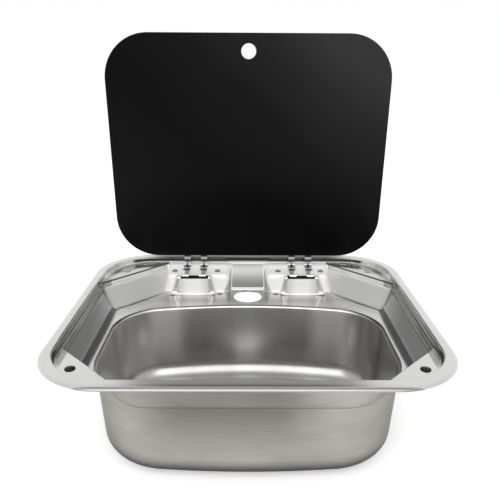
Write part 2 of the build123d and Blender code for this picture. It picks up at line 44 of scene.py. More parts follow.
# ---------------------------------------------------------------------------
# Dimensions repeated from the part, in millimetres. y is counted from the
# rim's front edge and z from the rim's top face; P() turns them into the
# row frame in metres.
# ---------------------------------------------------------------------------
RIM_W, RIM_D, RIM_R, RIM_ROLL, RIM_LIP, SHEET = 420.0, 370.0, 73.0, 5.0, 2.8, 1.0
LEDGE = 34.0
BOWL_HW, BOWL_FRONT, BOWL_BACK = 166.4, 31.2, 257.0
BOWL_RF, BOWL_RB, BOWL_AF, BOWL_AB = 82.0, 60.0, 990.0, 620.0
BOWL_FLOOR, BOWL_FILLET = 132.5, 20.0
DRAFT_SIDE, DRAFT_FRONT, DRAFT_BACK = (math.tan(math.radians(a)) for a in (3.5, 4.1, 2.8))
WASTE_R, WASTE_DISH_R, WASTE_DISH, WASTE_Y = 22.5, 31.0, 2.5, 144.0
LID_W, LID_H, LID_R, LID_T = 371.4, 302.2, 58.0, 5.0
LID_EDGE_Y, LID_EDGE_Z, LID_LEAN = 334.76, 9.5, math.radians(3.17)
FINGER_R, FINGER_FROM_TOP = 9.5, 22.0


def P(x, y, z):
    return Vector((x, y - RIM_D / 2, z + RIM_LIP)) / 1000.0


# ---------------------------------------------------------------------------
# Materials
# ---------------------------------------------------------------------------
def new_material(name):
    m = bpy.data.materials.new(name)
    m.use_nodes = True
    nt = m.node_tree
    nt.nodes.clear()
    out = nt.nodes.new("ShaderNodeOutputMaterial")
    bsdf = nt.nodes.new("ShaderNodeBsdfPrincipled")
    nt.links.new(bsdf.outputs["BSDF"], out.inputs["Surface"])
    return m, nt, bsdf


def node(nt, kind, **values):
    n = nt.nodes.new(kind)
    for key, value in values.items():
        if key in n.inputs:
            n.inputs[key].default_value = value
        else:
            setattr(n, key, value)
    return n


def mapped(nt, scale, rotation=(0, 0, 0)):
    """Object coordinates, stretched."""
    tc = nt.nodes.new("ShaderNodeTexCoord")
    mp = nt.nodes.new("ShaderNodeMapping")
    mp.inputs["Scale"].default_value = scale
    mp.inputs["Rotation"].default_value = rotation
    nt.links.new(tc.outputs["Object"], mp.inputs["Vector"])
    return mp.outputs["Vector"]


def noise(nt, vector, scale=1.0, detail=3.0, roughness=0.5):
    n = nt.nodes.new("ShaderNodeTexNoise")
    n.inputs["Scale"].default_value = scale
    n.inputs["Detail"].default_value = detail
    n.inputs["Roughness"].default_value = roughness
    nt.links.new(vector, n.inputs["Vector"])
    return n.outputs["Fac"]


def ramp(nt, fac, stops):
    r = nt.nodes.new("ShaderNodeValToRGB")
    els = r.color_ramp.elements
    while len(els) > 1:
        els.remove(els[0])
    els[0].position, els[0].color = stops[0][0], colour(stops[0][1])
    for pos, col in stops[1:]:
        e = els.new(pos)
        e.color = colour(col)
    nt.links.new(fac, r.inputs["Fac"])
    return r.outputs["Color"]


def colour(c):
    if isinstance(c, (int, float)):
        return (c, c, c, 1.0)
    return tuple(c) + (1.0,) if len(c) == 3 else tuple(c)


def map_range(nt, value, a, b, c, d):
    m = nt.nodes.new("ShaderNodeMapRange")
    for key, v in zip(("From Min", "From Max", "To Min", "To Max"), (a, b, c, d)):
        m.inputs[key].default_value = v
    nt.links.new(value, m.inputs["Value"])
    return m.outputs["Result"]


def bump(nt, bsdf, height, strength, distance, edge=None):
    b = nt.nodes.new("ShaderNodeBump")
    b.inputs["Strength"].default_value = strength
    b.inputs["Distance"].default_value = distance
    nt.links.new(height, b.inputs["Height"])
    if edge:
        e = nt.nodes.new("ShaderNodeBevel")
        e.samples = 6
        e.inputs["Radius"].default_value = edge
        nt.links.new(e.outputs["Normal"], b.inputs["Normal"])
    nt.links.new(b.outputs["Normal"], bsdf.inputs["Normal"])


def axes_of(nt):
    """The object's own x, y and z, in metres, as three values."""
    tc = nt.nodes.new("ShaderNodeTexCoord")
    sep = nt.nodes.new("ShaderNodeSeparateXYZ")
    nt.links.new(tc.outputs["Object"], sep.inputs["Vector"])
    return sep.outputs["X"], sep.outputs["Y"], sep.outputs["Z"]


def maths(nt, kind, a, b=None):
    m = nt.nodes.new("ShaderNodeMath")
    m.operation = kind
    for i, v in enumerate((a, b)):
        if v is None:
            continue
        if isinstance(v, (int, float)):
            m.inputs[i].default_value = v
        else:
            nt.links.new(v, m.inputs[i])
    return m.outputs[0]


def fade(nt, value, a, b):
    """0 at a, 1 at b, smooth in between."""
    m = nt.nodes.new("ShaderNodeMapRange")
    m.interpolation_type = "SMOOTHSTEP"
    m.inputs["From Min"].default_value = a
    m.inputs["From Max"].default_value = b
    nt.links.new(value, m.inputs["Value"])
    return m.outputs["Result"]


def zone(nt, *parts):
    out = parts[0]
    for p in parts[1:]:
        out = maths(nt, "MULTIPLY", out, p)
    return out


def multiplied(nt, a, b):
    mixed = nt.nodes.new("ShaderNodeMix")
    mixed.data_type = "RGBA"
    mixed.blend_type = "MULTIPLY"
    mixed.inputs["Factor"].default_value = 1.0
    nt.links.new(a, mixed.inputs["A"])
    nt.links.new(b, mixed.inputs["B"])
    return mixed.outputs["Result"]


def tray_steel(name):
    """The tray's satin sheet: brushed deck, polished flange and shelves; its tone is painted zone by zone with light, a
    painted highlight on the deck and painted shade on walls, creases, cheeks, pads, ledge and under the lid.
    """
    m, nt, bsdf = new_material(name)
    x, y, z = axes_of(nt)
    ax = maths(nt, "ABSOLUTE", x)
    fine = noise(nt, mapped(nt, (40, 90, 90)), 12.0, 4.0, 0.6)
    cloud = noise(nt, mapped(nt, (14, 14, 14)), 1.0, 4.0, 0.55)
    speck = noise(nt, mapped(nt, (1400, 1400, 1400)), 1.0, 2.0, 0.5)
    # painted highlight: the deck zone is painted brighter than the rest of the sheet (DECK_TONE over 0.76)
    deck = zone(nt, fade(nt, y, 0.1035, 0.1050), fade(nt, y, 0.1760, 0.1710), fade(nt, ax, 0.1200, 0.1140), fade(nt, z, -0.0030, -0.0044), fade(nt, z, -0.0310, -0.0298))
    # painted shade: the tap recess, its shaft painted dark low down and light high up (RECESS_TONE)
    recess = zone(nt, fade(nt, y, 0.1200, 0.1225), fade(nt, ax, 0.0236, 0.0216), fade(nt, z, -0.0046, -0.0070))
    # painted shade: the seat's rear wall in the lid's shade, painted near black (REAR_TONE)
    rear = zone(nt, fade(nt, y, 0.1580, 0.1615), fade(nt, z, -0.0042, -0.0020), fade(nt, z, 0.0019, 0.0008))
    # painted shade: the rear corner shelves at seat depth are painted a little darker
    shelf = zone(nt, fade(nt, y, 0.0700, 0.0760), fade(nt, ax, 0.1150, 0.1190), fade(nt, z, -0.0064, -0.0058), fade(nt, z, -0.0036, -0.0046))
    flange = fade(nt, z, 0.0006, 0.0022)
    # the diagonal panels: everything beyond their plane, between ledge and shelf; painted a little darker (PANEL_TONE)
    # as painted shade, and partly matt
    beyond = maths(nt, "SUBTRACT", maths(nt, "ADD", ax, y), maths(nt, "ADD", maths(nt, "MULTIPLY", z, 2.667), 0.2300 + 0.0832))
    panel = zone(nt, fade(nt, beyond, -0.0050, -0.0022), fade(nt, ax, 0.1090, 0.1120), fade(nt, y, 0.0400, 0.0460), fade(nt, z, -0.0310, -0.0296), fade(nt, z, -0.0058, -0.0068))
    # long walls, with painted light: the strip over the crease and the lower wall painted darker, the crease a painted
    # shade line, and the bead along the foot drawn only as a painted shade line beside a painted highlight line
    sides = zone(nt, fade(nt, y, -0.1400, -0.1250), fade(nt, y, 0.1080, 0.0950), fade(nt, ax, 0.1660, 0.1680), maths(nt, "SUBTRACT", 1.0, panel))
    upper = zone(nt, sides, fade(nt, ax, 0.1850, 0.1875), fade(nt, z, 0.0016, -0.0008), fade(nt, z, -0.0138, -0.0130))
    crease = zone(nt, sides, fade(nt, z, -0.0142, -0.0136), fade(nt, z, -0.0126, -0.0131))
    lower = zone(nt, sides, fade(nt, z, -0.0120, -0.0140), fade(nt, z, -0.0312, -0.0300))
    bead_shade_line = zone(nt, sides, fade(nt, ax, 0.1712, 0.1730), fade(nt, ax, 0.1792, 0.1782), fade(nt, z, -0.0100, -0.0140))
    bead_highlight_line = zone(nt, sides, fade(nt, ax, 0.1788, 0.1796), fade(nt, ax, 0.1816, 0.1806), fade(nt, z, -0.0100, -0.0140))
    # painted shade: a dark spot on the ledge at the foot of the deck wall beside each hinge pad
    dx = maths(nt, "MULTIPLY", maths(nt, "SUBTRACT", ax, 0.0395), 1 / 0.0062)
    dy = maths(nt, "MULTIPLY", maths(nt, "SUBTRACT", y, 0.1095), 1 / 0.0042)
    ledge_spot_shade = maths(nt, "SQRT", maths(nt, "ADD", maths(nt, "MULTIPLY", dx, dx), maths(nt, "MULTIPLY", dy, dy)))
    ledge_spot_shade = zone(nt, fade(nt, ledge_spot_shade, 1.1, 0.5), fade(nt, z, -0.0270, -0.0290))
    # painted shade: the side bands and the margin of each hinge pad's raised face are painted darker
    pads = zone(nt, fade(nt, ax, 0.0435, 0.0460), fade(nt, ax, 0.1095, 0.1075), fade(nt, y, 0.1160, 0.1125), fade(nt, y, 0.1010, 0.1040), fade(nt, z, 0.0000, -0.0030))
    face = zone(nt, fade(nt, ax, 0.0540, 0.0570), fade(nt, ax, 0.0970, 0.0940))
    bands = zone(nt, pads, maths(nt, "SUBTRACT", 1.0, face))
    middle = maths(nt, "ABSOLUTE", maths(nt, "SUBTRACT", ax, 0.0755))
    margin = zone(nt, pads, face, fade(nt, middle, 0.0060, 0.0215))
    # cheeks of the tap recess, wider towards the ledge, painted dark as painted shade
    spread = maths(nt, "ADD", 0.0236, maths(nt, "MULTIPLY", maths(nt, "SUBTRACT", -0.0080, z), 0.48))
    cheek = zone(nt, fade(nt, maths(nt, "SUBTRACT", ax, spread), 0.0022, -0.0030), fade(nt, ax, 0.0234, 0.0244), fade(nt, z, -0.0070, -0.0120), fade(nt, z, -0.0312, -0.0300), fade(nt, y, 0.1040, 0.1080))
    # painted shade: a dark line on the shelves along the top edge of the rear diagonal panels
    over = maths(nt, "SUBTRACT", maths(nt, "ADD", ax, y), 0.466 - 0.185)
    brow = zone(nt, shelf, fade(nt, over, -0.0008, 0.0004), fade(nt, over, 0.0060, 0.0036))
    # painted shade: the rolled front lip is painted darker
    lip = fade(nt, y, -0.1806, -0.1822)
    # painted reflection of the black lid: the rear flange under the lid's lower edge is painted dark
    under_lid = zone(nt, fade(nt, ax, 0.1600, 0.1150), fade(nt, y, 0.1640, 0.1665), fade(nt, y, 0.1830, 0.1760), fade(nt, z, -0.0002, 0.0012))
    # painted shade: the rear ledge in front of the deck is painted darker
    ledge = zone(nt, fade(nt, y, 0.0640, 0.0900), fade(nt, ax, 0.1450, 0.0950), fade(nt, z, -0.0296, -0.0306), fade(nt, y, 0.1160, 0.0860))
    # the recess shaft's painted shade, then the deck's painted highlight
    shaft = map_range(nt, y, 0.1250, 0.1620, RECESS_TONE[0], RECESS_TONE[1])
    tone = map_range(nt, deck, 0, 1, 0.76, DECK_TONE)
    tone = maths(nt, "ADD", maths(nt, "MULTIPLY", tone, maths(nt, "SUBTRACT", 1.0, recess)), maths(nt, "MULTIPLY", shaft, recess))
    # each factor paints light into the tone: below 1 painted shade, above 1 painted highlight
    for mask, k in ((rear, REAR_TONE), (panel, PANEL_TONE), (upper, 0.5), (lower, 0.66), (crease, 0.4), (bead_shade_line, 0.4), (bead_highlight_line, 1.2), (ledge_spot_shade, 0.12), (cheek, 0.4), (shelf, 0.8), (brow, 0.3), (lip, 0.5), (under_lid, 0.2), (ledge, 0.55), (margin, 0.75), (bands, 0.8)):
        tone = maths(nt, "MULTIPLY", tone, map_range(nt, mask, 0, 1, 1.0, k))
    tone = maths(nt, "MULTIPLY", tone, map_range(nt, cloud, 0.3, 0.7, 0.95, 1.02))
    grey = nt.nodes.new("ShaderNodeCombineColor")
    for i, k in enumerate((1.0, 0.994, 0.985)):
        nt.links.new(maths(nt, "MULTIPLY", tone, k), grey.inputs[i])
    base = multiplied(nt, grey.outputs["Color"], ramp(nt, speck, [(0.3, 0.93), (0.7, 1.0)]))
    nt.links.new(base, bsdf.inputs["Base Color"])
    rough = map_range(nt, fine, 0.25, 0.75, 0.21, 0.29)
    bare = maths(nt, "SUBTRACT", 1.0, maths(nt, "MULTIPLY", bands, 0.8))
    for mask, shift in ((flange, 0.05), (zone(nt, deck, bare), 0.2), (shelf, -0.12), (panel, 0.2)):
        rough = maths(nt, "ADD", rough, maths(nt, "MULTIPLY", mask, shift))
    nt.links.new(rough, bsdf.inputs["Roughness"])
    # painted sheen: partly matt zones (deck, diagonal panels, front of the lower side walls, inner front flange) show
    # their tone as diffuse light, standing in for reflected studio light
    matt = maths(nt, "MAXIMUM", maths(nt, "MULTIPLY", zone(nt, deck, bare, maths(nt, "SUBTRACT", 1.0, recess)), DECK_MATT), maths(nt, "MULTIPLY", panel, PANEL_MATT))
    matt = maths(nt, "MAXIMUM", matt, maths(nt, "MULTIPLY", zone(nt, lower, fade(nt, y, 0.0800, 0.0200)), 0.38))
    inner = zone(nt, flange, fade(nt, y, -0.1660, -0.1680), fade(nt, y, -0.1800, -0.1740), fade(nt, ax, 0.1650, 0.1350))
    matt = maths(nt, "MAXIMUM", matt, maths(nt, "MULTIPLY", inner, 0.24))
    nt.links.new(maths(nt, "SUBTRACT", 1.0, matt), bsdf.inputs["Metallic"])
    waves = noise(nt, mapped(nt, (26, 26, 26)), 1.0, 2.0, 0.5)
    height = maths(nt, "ADD", maths(nt, "MULTIPLY", fine, map_range(nt, flange, 0, 1, 0.035, 0.014)), maths(nt, "MULTIPLY", maths(nt, "MULTIPLY", waves, shelf), 3.0))
    bump(nt, bsdf, height, 1.0, 0.0004)
    return m


def outside_steel(name):
    """The underside and outer skin: mill finish streaked along the sheet, with painted shade high up under the rim, at
    the right front corner and towards the bottom.
    """
    m, nt, bsdf = new_material(name)
    x, y, z = axes_of(nt)
    drift = noise(nt, mapped(nt, (16, 16, 34)), 1.0, 3.0, 0.55)
    streak = noise(nt, mapped(nt, (22, 22, 900)), 1.0, 3.0, 0.6)
    fine = noise(nt, mapped(nt, (300, 300, 300)), 1.0, 4.0, 0.6)
    # painted shade: the skin is painted dark (OUT_DARK) high up in a patch centred a little left of the middle, and
    # pale (OUT_PALE) lower down and to the sides
    low = maths(nt, "ADD", z, maths(nt, "MULTIPLY", drift, 0.020))
    pale = fade(nt, low, -0.020, -0.096)
    off = maths(nt, "ABSOLUTE", maths(nt, "ADD", x, 0.0200))
    middle = maths(nt, "SUBTRACT", 1.0, fade(nt, maths(nt, "ADD", off, maths(nt, "MULTIPLY", drift, 0.030)), 0.062, 0.132))
    pale = maths(nt, "SUBTRACT", 1.0, maths(nt, "MULTIPLY", maths(nt, "SUBTRACT", 1.0, pale), middle))
    band = fade(nt, z, -0.0325, -0.0310)
    pale = maths(nt, "MAXIMUM", pale, maths(nt, "MULTIPLY", band, map_range(nt, middle, 0, 1, 1.0, 0.2)))
    tone = maths(nt, "MULTIPLY", map_range(nt, pale, 0, 1, OUT_DARK, OUT_PALE), map_range(nt, drift, 0.3, 0.7, 0.9, 1.08))
    tone = maths(nt, "MULTIPLY", tone, map_range(nt, streak, 0.3, 0.7, 0.93, 1.05))
    # painted shade: darker towards the bottom fillet
    tone = maths(nt, "MULTIPLY", tone, map_range(nt, fade(nt, z, -0.1010, -0.1215), 0, 1, 1.0, 0.26))
    tone = maths(nt, "MULTIPLY", tone, map_range(nt, fade(nt, z, -0.1190, -0.1265), 0, 1, 1.0, 0.3))
    # painted shade: the right front corner, high up, is painted darker
    corner = zone(nt, fade(nt, x, 0.1400, 0.1590), fade(nt, z, -0.0520, -0.0360), fade(nt, z, -0.0040, -0.0100), fade(nt, y, -0.0900, -0.1200))
    tone = maths(nt, "MULTIPLY", tone, map_range(nt, corner, 0, 1, 1.0, 0.5))
    grey = nt.nodes.new("ShaderNodeCombineColor")
    for i, k in enumerate((1.0, 0.968, 0.905)):
        nt.links.new(maths(nt, "MULTIPLY", tone, k), grey.inputs[i])
    nt.links.new(grey.outputs["Color"], bsdf.inputs["Base Color"])
    nt.links.new(map_range(nt, fine, 0.3, 0.7, 0.3, 0.4), bsdf.inputs["Roughness"])
    bsdf.inputs["Specular Tint"].default_value = (0.55, 0.55, 0.52, 1.0)
    bsdf.inputs["Metallic"].default_value = 1.0
    bump(nt, bsdf, maths(nt, "ADD", fine, streak), 0.05, 0.0004)
    return m


def bowl_steel(name):
    """The bowl's inner skin, brushed down the walls, with painted reflection bands on the walls and painted shade
    towards the floor.
    """
    m, nt, bsdf = new_material(name)
    brush = noise(nt, mapped(nt, (420, 420, 30)), 1.0, 3.0, 0.6)
    broad = noise(nt, mapped(nt, (26, 26, 3.0)), 1.0, 2.0, 0.45)
    speck = noise(nt, mapped(nt, (1400, 1400, 1400)), 1.0, 2.0, 0.5)
    tone = maths(nt, "MULTIPLY", map_range(nt, broad, 0.3, 0.7, BOWL_TONE * 0.88, BOWL_TONE * 1.06), map_range(nt, brush, 0.3, 0.7, 0.99, 1.005))
    x, y, z = axes_of(nt)
    ax = maths(nt, "ABSOLUTE", x)
    # painted reflections on the walls: a lighter band either side (partly matt), a darker band high on the +x end, and
    # painted shade low on the walls either side of the middle
    reflection_light_band = zone(nt, fade(nt, ax, 0.0760, 0.1000), fade(nt, ax, 0.1380, 0.1200), fade(nt, z, -0.1120, -0.0700))
    reflection_dark_band = zone(nt, fade(nt, x, -0.0200, 0.0200), fade(nt, ax, 0.1340, 0.1480), fade(nt, z, -0.1180, -0.1050))
    lower_wall_shade = zone(nt, fade(nt, ax, 0.0980, 0.0700), fade(nt, ax, 0.0060, 0.0260), fade(nt, z, -0.0640, -0.0950), fade(nt, z, -0.1150, -0.1060))
    for mask, k in ((reflection_light_band, 1.1), (reflection_dark_band, 0.6), (lower_wall_shade, 0.72)):
        tone = maths(nt, "MULTIPLY", tone, map_range(nt, mask, 0, 1, 1.0, k))
    # painted shade: darker towards the floor
    tone = maths(nt, "MULTIPLY", tone, map_range(nt, fade(nt, z, -0.1080, -0.1180), 0, 1, 1.0, 0.62))
    tone = maths(nt, "MULTIPLY", tone, map_range(nt, fade(nt, z, -0.1250, -0.1282), 0, 1, 1.0, 0.7))
    grey = nt.nodes.new("ShaderNodeCombineColor")
    for i, k in enumerate((1.0, 0.992, 0.98)):
        nt.links.new(maths(nt, "MULTIPLY", tone, k), grey.inputs[i])
    nt.links.new(multiplied(nt, grey.outputs["Color"], ramp(nt, speck, [(0.3, 0.9), (0.7, 1.0)])), bsdf.inputs["Base Color"])
    nt.links.new(map_range(nt, brush, 0.25, 0.75, 0.28, 0.30), bsdf.inputs["Roughness"])
    # painted sheen: the upper -x wall is partly matt, standing in for reflected studio light
    left = zone(nt, fade(nt, x, -0.1150, -0.1400), fade(nt, z, -0.0400, -0.0800))
    matt = maths(nt, "ADD", maths(nt, "MULTIPLY", reflection_light_band, 0.26), maths(nt, "MULTIPLY", left, 0.12))
    nt.links.new(maths(nt, "SUBTRACT", 1.0, matt), bsdf.inputs["Metallic"])
    bump(nt, bsdf, brush, 0.003, 0.0002)
    return m


def banded(name, axis, stops, low, high, rough, spread=0.05, metal=1.0):
    """Bright plating with painted bands along one of the object's axes: darker bands of painted reflection and shade,
    lighter ones of painted highlight.
    """
    m, nt, bsdf = new_material(name)
    value = axes_of(nt)[axis]
    cloud = noise(nt, mapped(nt, (200, 200, 200)), 1.0, 3.0, 0.5)
    band = ramp(nt, map_range(nt, value, low, high, 0, 1), [((p - low) / (high - low), t) for p, t in stops])
    nt.links.new(multiplied(nt, band, ramp(nt, cloud, [(0.3, 0.88), (0.7, 1.0)])), bsdf.inputs["Base Color"])
    nt.links.new(map_range(nt, cloud, 0.3, 0.7, rough - spread, rough + spread), bsdf.inputs["Roughness"])
    bsdf.inputs["Metallic"].default_value = metal
    bump(nt, bsdf, cloud, 0.04, 0.0003, 0.0004)
    return m


def steel(name, tone, rough, grain=(60, 60, 60), grain_bump=0.05, edge=None, spread=0.06, aniso=0.0):
    """Pressed stainless sheet: a fine satin grain, faint cloudiness in tone and gloss."""
    m, nt, bsdf = new_material(name)
    cloud = noise(nt, mapped(nt, (9, 9, 9)), 1.0, 4.0, 0.55)
    fine = noise(nt, mapped(nt, grain), 12.0, 4.0, 0.6)
    speck = noise(nt, mapped(nt, (1400, 1400, 1400)), 1.0, 2.0, 0.5)
    base = ramp(nt, cloud, [(0.3, tuple(c * 0.93 for c in tone)), (0.7, tuple(min(1.0, c * 1.04) for c in tone))])
    mixed = nt.nodes.new("ShaderNodeMix")
    mixed.data_type = "RGBA"
    mixed.blend_type = "MULTIPLY"
    mixed.inputs["Factor"].default_value = 1.0
    nt.links.new(base, mixed.inputs["A"])
    nt.links.new(ramp(nt, speck, [(0.3, 0.9), (0.7, 1.0)]), mixed.inputs["B"])
    nt.links.new(mixed.outputs["Result"], bsdf.inputs["Base Color"])
    nt.links.new(map_range(nt, fine, 0.25, 0.75, rough - spread, rough + spread), bsdf.inputs["Roughness"])
    bsdf.inputs["Metallic"].default_value = 1.0
    bsdf.inputs["Anisotropic"].default_value = aniso
    bump(nt, bsdf, fine, grain_bump, 0.0004, edge)
    return m


def chrome(name, tone, rough, edge=None):
    m, nt, bsdf = new_material(name)
    cloud = noise(nt, mapped(nt, (60, 60, 60)), 1.0, 3.0, 0.5)
    nt.links.new(ramp(nt, cloud, [(0.3, tuple(c * 0.9 for c in tone)), (0.7, tone)]), bsdf.inputs["Base Color"])
    nt.links.new(map_range(nt, cloud, 0.3, 0.7, rough * 0.7, rough * 1.3), bsdf.inputs["Roughness"])
    bsdf.inputs["Metallic"].default_value = 1.0
    scratch = noise(nt, mapped(nt, (900, 120, 900)), 1.0, 2.0, 0.5)
    bump(nt, bsdf, scratch, 0.04, 0.0003, edge)
    return m


def rubbery(name, tone, rough, edge=None, specular=0.5):
    m, nt, bsdf = new_material(name)
    cloud = noise(nt, mapped(nt, (300, 300, 300)), 1.0, 4.0, 0.6)
    nt.links.new(ramp(nt, cloud, [(0.3, tuple(c * 0.85 for c in tone)), (0.7, tone)]), bsdf.inputs["Base Color"])
    nt.links.new(map_range(nt, cloud, 0.3, 0.7, rough - 0.05, rough + 0.05), bsdf.inputs["Roughness"])
    bsdf.inputs["Specular IOR Level"].default_value = specular
    bump(nt, bsdf, cloud, 0.25, 0.0003, edge)
    return m


def black_glass(name):
    m, nt, bsdf = new_material(name)
    haze = noise(nt, mapped(nt, (4, 4, 4)), 1.0, 3.0, 0.5)
    x, y, z = axes_of(nt)
    # painted sheen: the black glass is painted lighter towards its upper +x corner, a painted reflection
    drift = maths(nt, "ADD", maths(nt, "MULTIPLY", x, 1.7), maths(nt, "MULTIPLY", z, 2.3))
    drift = maths(nt, "ADD", drift, maths(nt, "MULTIPLY", haze, 0.25))
    nt.links.new(ramp(nt, drift, [(0.1, (0.0046, 0.0046, 0.0047)), (0.4, (0.0028, 0.0028, 0.0029)), (0.66, (0.0054, 0.0054, 0.0054)), (0.85, (0.0140, 0.0140, 0.0140)), (1.0, (0.0270, 0.0270, 0.0270))]), bsdf.inputs["Base Color"])
    nt.links.new(map_range(nt, haze, 0.3, 0.7, 0.16, 0.22), bsdf.inputs["Roughness"])
    bsdf.inputs["IOR"].default_value = 1.5
    bsdf.inputs["Specular IOR Level"].default_value = 0.04
    return m


DECK_TONE, RECESS_TONE, REAR_TONE, PANEL_TONE = 1.0, (0.48, 0.95), 0.09, 0.95
DECK_MATT, PANEL_MATT = 0.85, 0.55
OUT_DARK, OUT_PALE = 0.15, 0.35
BOWL_TONE = 0.76
MAT = {
    "tray": tray_steel("tray_satin_steel"),
    "bowl": bowl_steel("bowl_satin_steel"),
    "outside": outside_steel("outside_mill_steel"),
    # painted reflections: two near-black bands across the bright strap plating
    "strap": banded("hinge_strap_plating", 1, [(0.112, 0.9), (0.1305, 0.88), (0.1325, 0.08), (0.1385, 0.1), (0.1400, 0.8), (0.1425, 0.85), (0.1440, 0.07), (0.1480, 0.09), (0.1495, 0.8), (0.1540, 0.9)], 0.110, 0.156, 0.18, metal=0.6),
    # painted shade and highlight: the leaf is painted dark low down, with a thin painted highlight line near its foot,
    # and mid grey above
    "leaf": banded("hinge_leaf_plating", 2, [(-0.0050, 0.08), (-0.0008, 0.1), (0.0004, 0.55), (0.0018, 0.12), (0.0060, 0.10), (0.0110, 0.3), (0.0150, 0.42), (0.0400, 0.4)], -0.006, 0.044, 0.14),
    # painted shade: a dark band round the side of each screw head, with a lighter top as a painted highlight
    "screw": banded("screw_plating", 2, [(-0.0140, 0.3), (-0.0060, 0.3), (-0.0050, 0.05), (-0.0041, 0.06), (-0.0037, 0.5), (-0.0034, 0.55)], -0.0145, -0.0030, 0.26),
    "seam": rubbery("seam_shadow_line", (0.05, 0.05, 0.05), 0.6),
    # painted shadow: the backing plate is painted near black above its lower part, so the tongue seen through the strap
    # slots reads as shade
    "plate": banded("plate_steel", 2, [(-0.0090, 0.42), (-0.0085, 0.4), (-0.0080, 0.03), (-0.0077, 0.02)], -0.0094, -0.0070, 0.4),
    "fastener": chrome("fastener_plating", (0.7, 0.7, 0.7), 0.25, edge=0.0003),
    "seal": rubbery("foam_seal", (0.05, 0.05, 0.05), 0.85),
    "bumper": rubbery("bumper_rubber", (0.006, 0.006, 0.0065), 0.3, specular=0.22),
    "clear": rubbery("bumper_clear", (0.36, 0.36, 0.365), 0.22),
    "glass": black_glass("black_glass"),
    "adhesive": rubbery("adhesive", (0.02, 0.02, 0.02), 0.6),
}


def paint(obj, material):
    obj.data.materials.clear()
    obj.data.materials.append(material)


# ---------------------------------------------------------------------------
# Mesh helpers
# ---------------------------------------------------------------------------
def object_from(name, bm, material, body, angle=30.0):
    bm.normal_update()
    mesh = bpy.data.meshes.new(name)
    bm.to_mesh(mesh)
    bm.free()
    obj = bpy.data.objects.new(name, mesh)
    bpy.context.scene.collection.objects.link(obj)
    for p in mesh.polygons:
        p.use_smooth = True
    mesh.set_sharp_from_angle(angle=math.radians(angle))
    mesh.materials.append(material)
    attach(obj, body)
    return obj


def bridge(bm, a, b):
    n = len(a)
    for i in range(n):
        j = (i + 1) % n
        bm.faces.new((a[i], a[j], b[j], b[i]))


def bowl_outline(z, inset, arc=28):
    """The bowl's outline as (x, y) points, at a height below the rim."""
    fall = max(0.0, -LEDGE - SHEET - z)
    hw = BOWL_HW - inset - fall * DRAFT_SIDE
    yf = BOWL_FRONT + inset + fall * DRAFT_FRONT
    yb = BOWL_BACK - inset - fall * DRAFT_BACK
    rf, rb = BOWL_RF - inset - fall * DRAFT_SIDE, BOWL_RB - inset - fall * DRAFT_SIDE
    af, ab = BOWL_AF - inset, BOWL_AB - inset
    yc = yf + af - math.sqrt((af - rf) ** 2 - (hw - rf) ** 2)
    ya = yb - ab + math.sqrt((ab - rb) ** 2 - (hw - rb) ** 2)
    a1 = math.atan2(yc - (yf + af), hw - rf)
    a2 = math.atan2(ya - (yb - ab), hw - rb)
    right = []

    def arc_points(cx, cy, r, a, b, n):
        return [(cx + r * math.cos(a + (b - a) * i / n), cy + r * math.sin(a + (b - a) * i / n)) for i in range(n)]

    right += arc_points(0, yf + af, af, -math.pi / 2, a1, arc)
    right += arc_points(hw - rf, yc, rf, a1, 0, arc)
    right += [(hw, yc + (ya - yc) * i / 16) for i in range(16)]
    right += arc_points(hw - rb, ya, rb, 0, a2, arc)
    right += arc_points(0, yb - ab, ab, a2, math.pi / 2, arc)
    right.append((0, yb))
    left = [(-x, y) for x, y in reversed(right[1:-1])]
    return right + left


def rounded_rect_xy(w, d, r, n):
    pts = []
    for cx, cy, a0 in ((w / 2 - r, d - r, 0), (-w / 2 + r, d - r, 90), (-w / 2 + r, r, 180), (w / 2 - r, r, 270)):
        for i in range(n + 1):
            a = math.radians(a0 + 90 * i / n)
            pts.append((cx + r * math.cos(a), cy + r * math.sin(a)))
    return pts


# ---------------------------------------------------------------------------
# Tray: one pressing. Its top face is the zero level of a field F(x, y, z),
# built from plane distances with true fillets between them, so every edge
# is as soft as pressed sheet. x, y, z in millimetres, z from the rim's top.
# ---------------------------------------------------------------------------
SEAT_W, SEAT_MARGIN, SEAT_R, SEAT_DEPTH = 396.0, 16.5, 61.0, 8.0
TAP_Y, TAP_R = 286.0, 19.5
SLOT_X, SLOT_BACK, SLOT_SILL = (55.5, 94.0), 302.6, -10.6
SCREWS = (43.4, 104.4)
SCREW_Y = 318.0
BUMPERS = ((174.0, 48.0), (172.5, 317.5))


def rmax(a, b, r):
    """Both: a concave corner of the hollow, rounded with radius r."""
    return np.minimum(-r, np.maximum(a, b)) + np.hypot(np.maximum(a + r, 0.0), np.maximum(b + r, 0.0))


def rmin(a, b, r):
    """Either: a convex edge of the sheet, rounded with radius r."""
    return np.maximum(r, np.minimum(a, b)) - np.hypot(np.maximum(r - a, 0.0), np.maximum(r - b, 0.0))


def step(t):
    t = np.clip(t, 0.0, 1.0)
    return t * t * (3.0 - 2.0 * t)


def wall(p, q, s, inside=(0.0, 180.0, -25.0)):
    """Signed distance to the plane through three points, positive outside."""
    p, q, s, i = (np.array(v, float) for v in (p, q, s, inside))
    n = np.cross(q - p, s - p)
    n /= np.linalg.norm(n)
    if np.dot(n, i - p) > 0:
        n = -n
    c = float(np.dot(n, p))
    return lambda x, y, z: n[0] * x + n[1] * y + n[2] * z - c


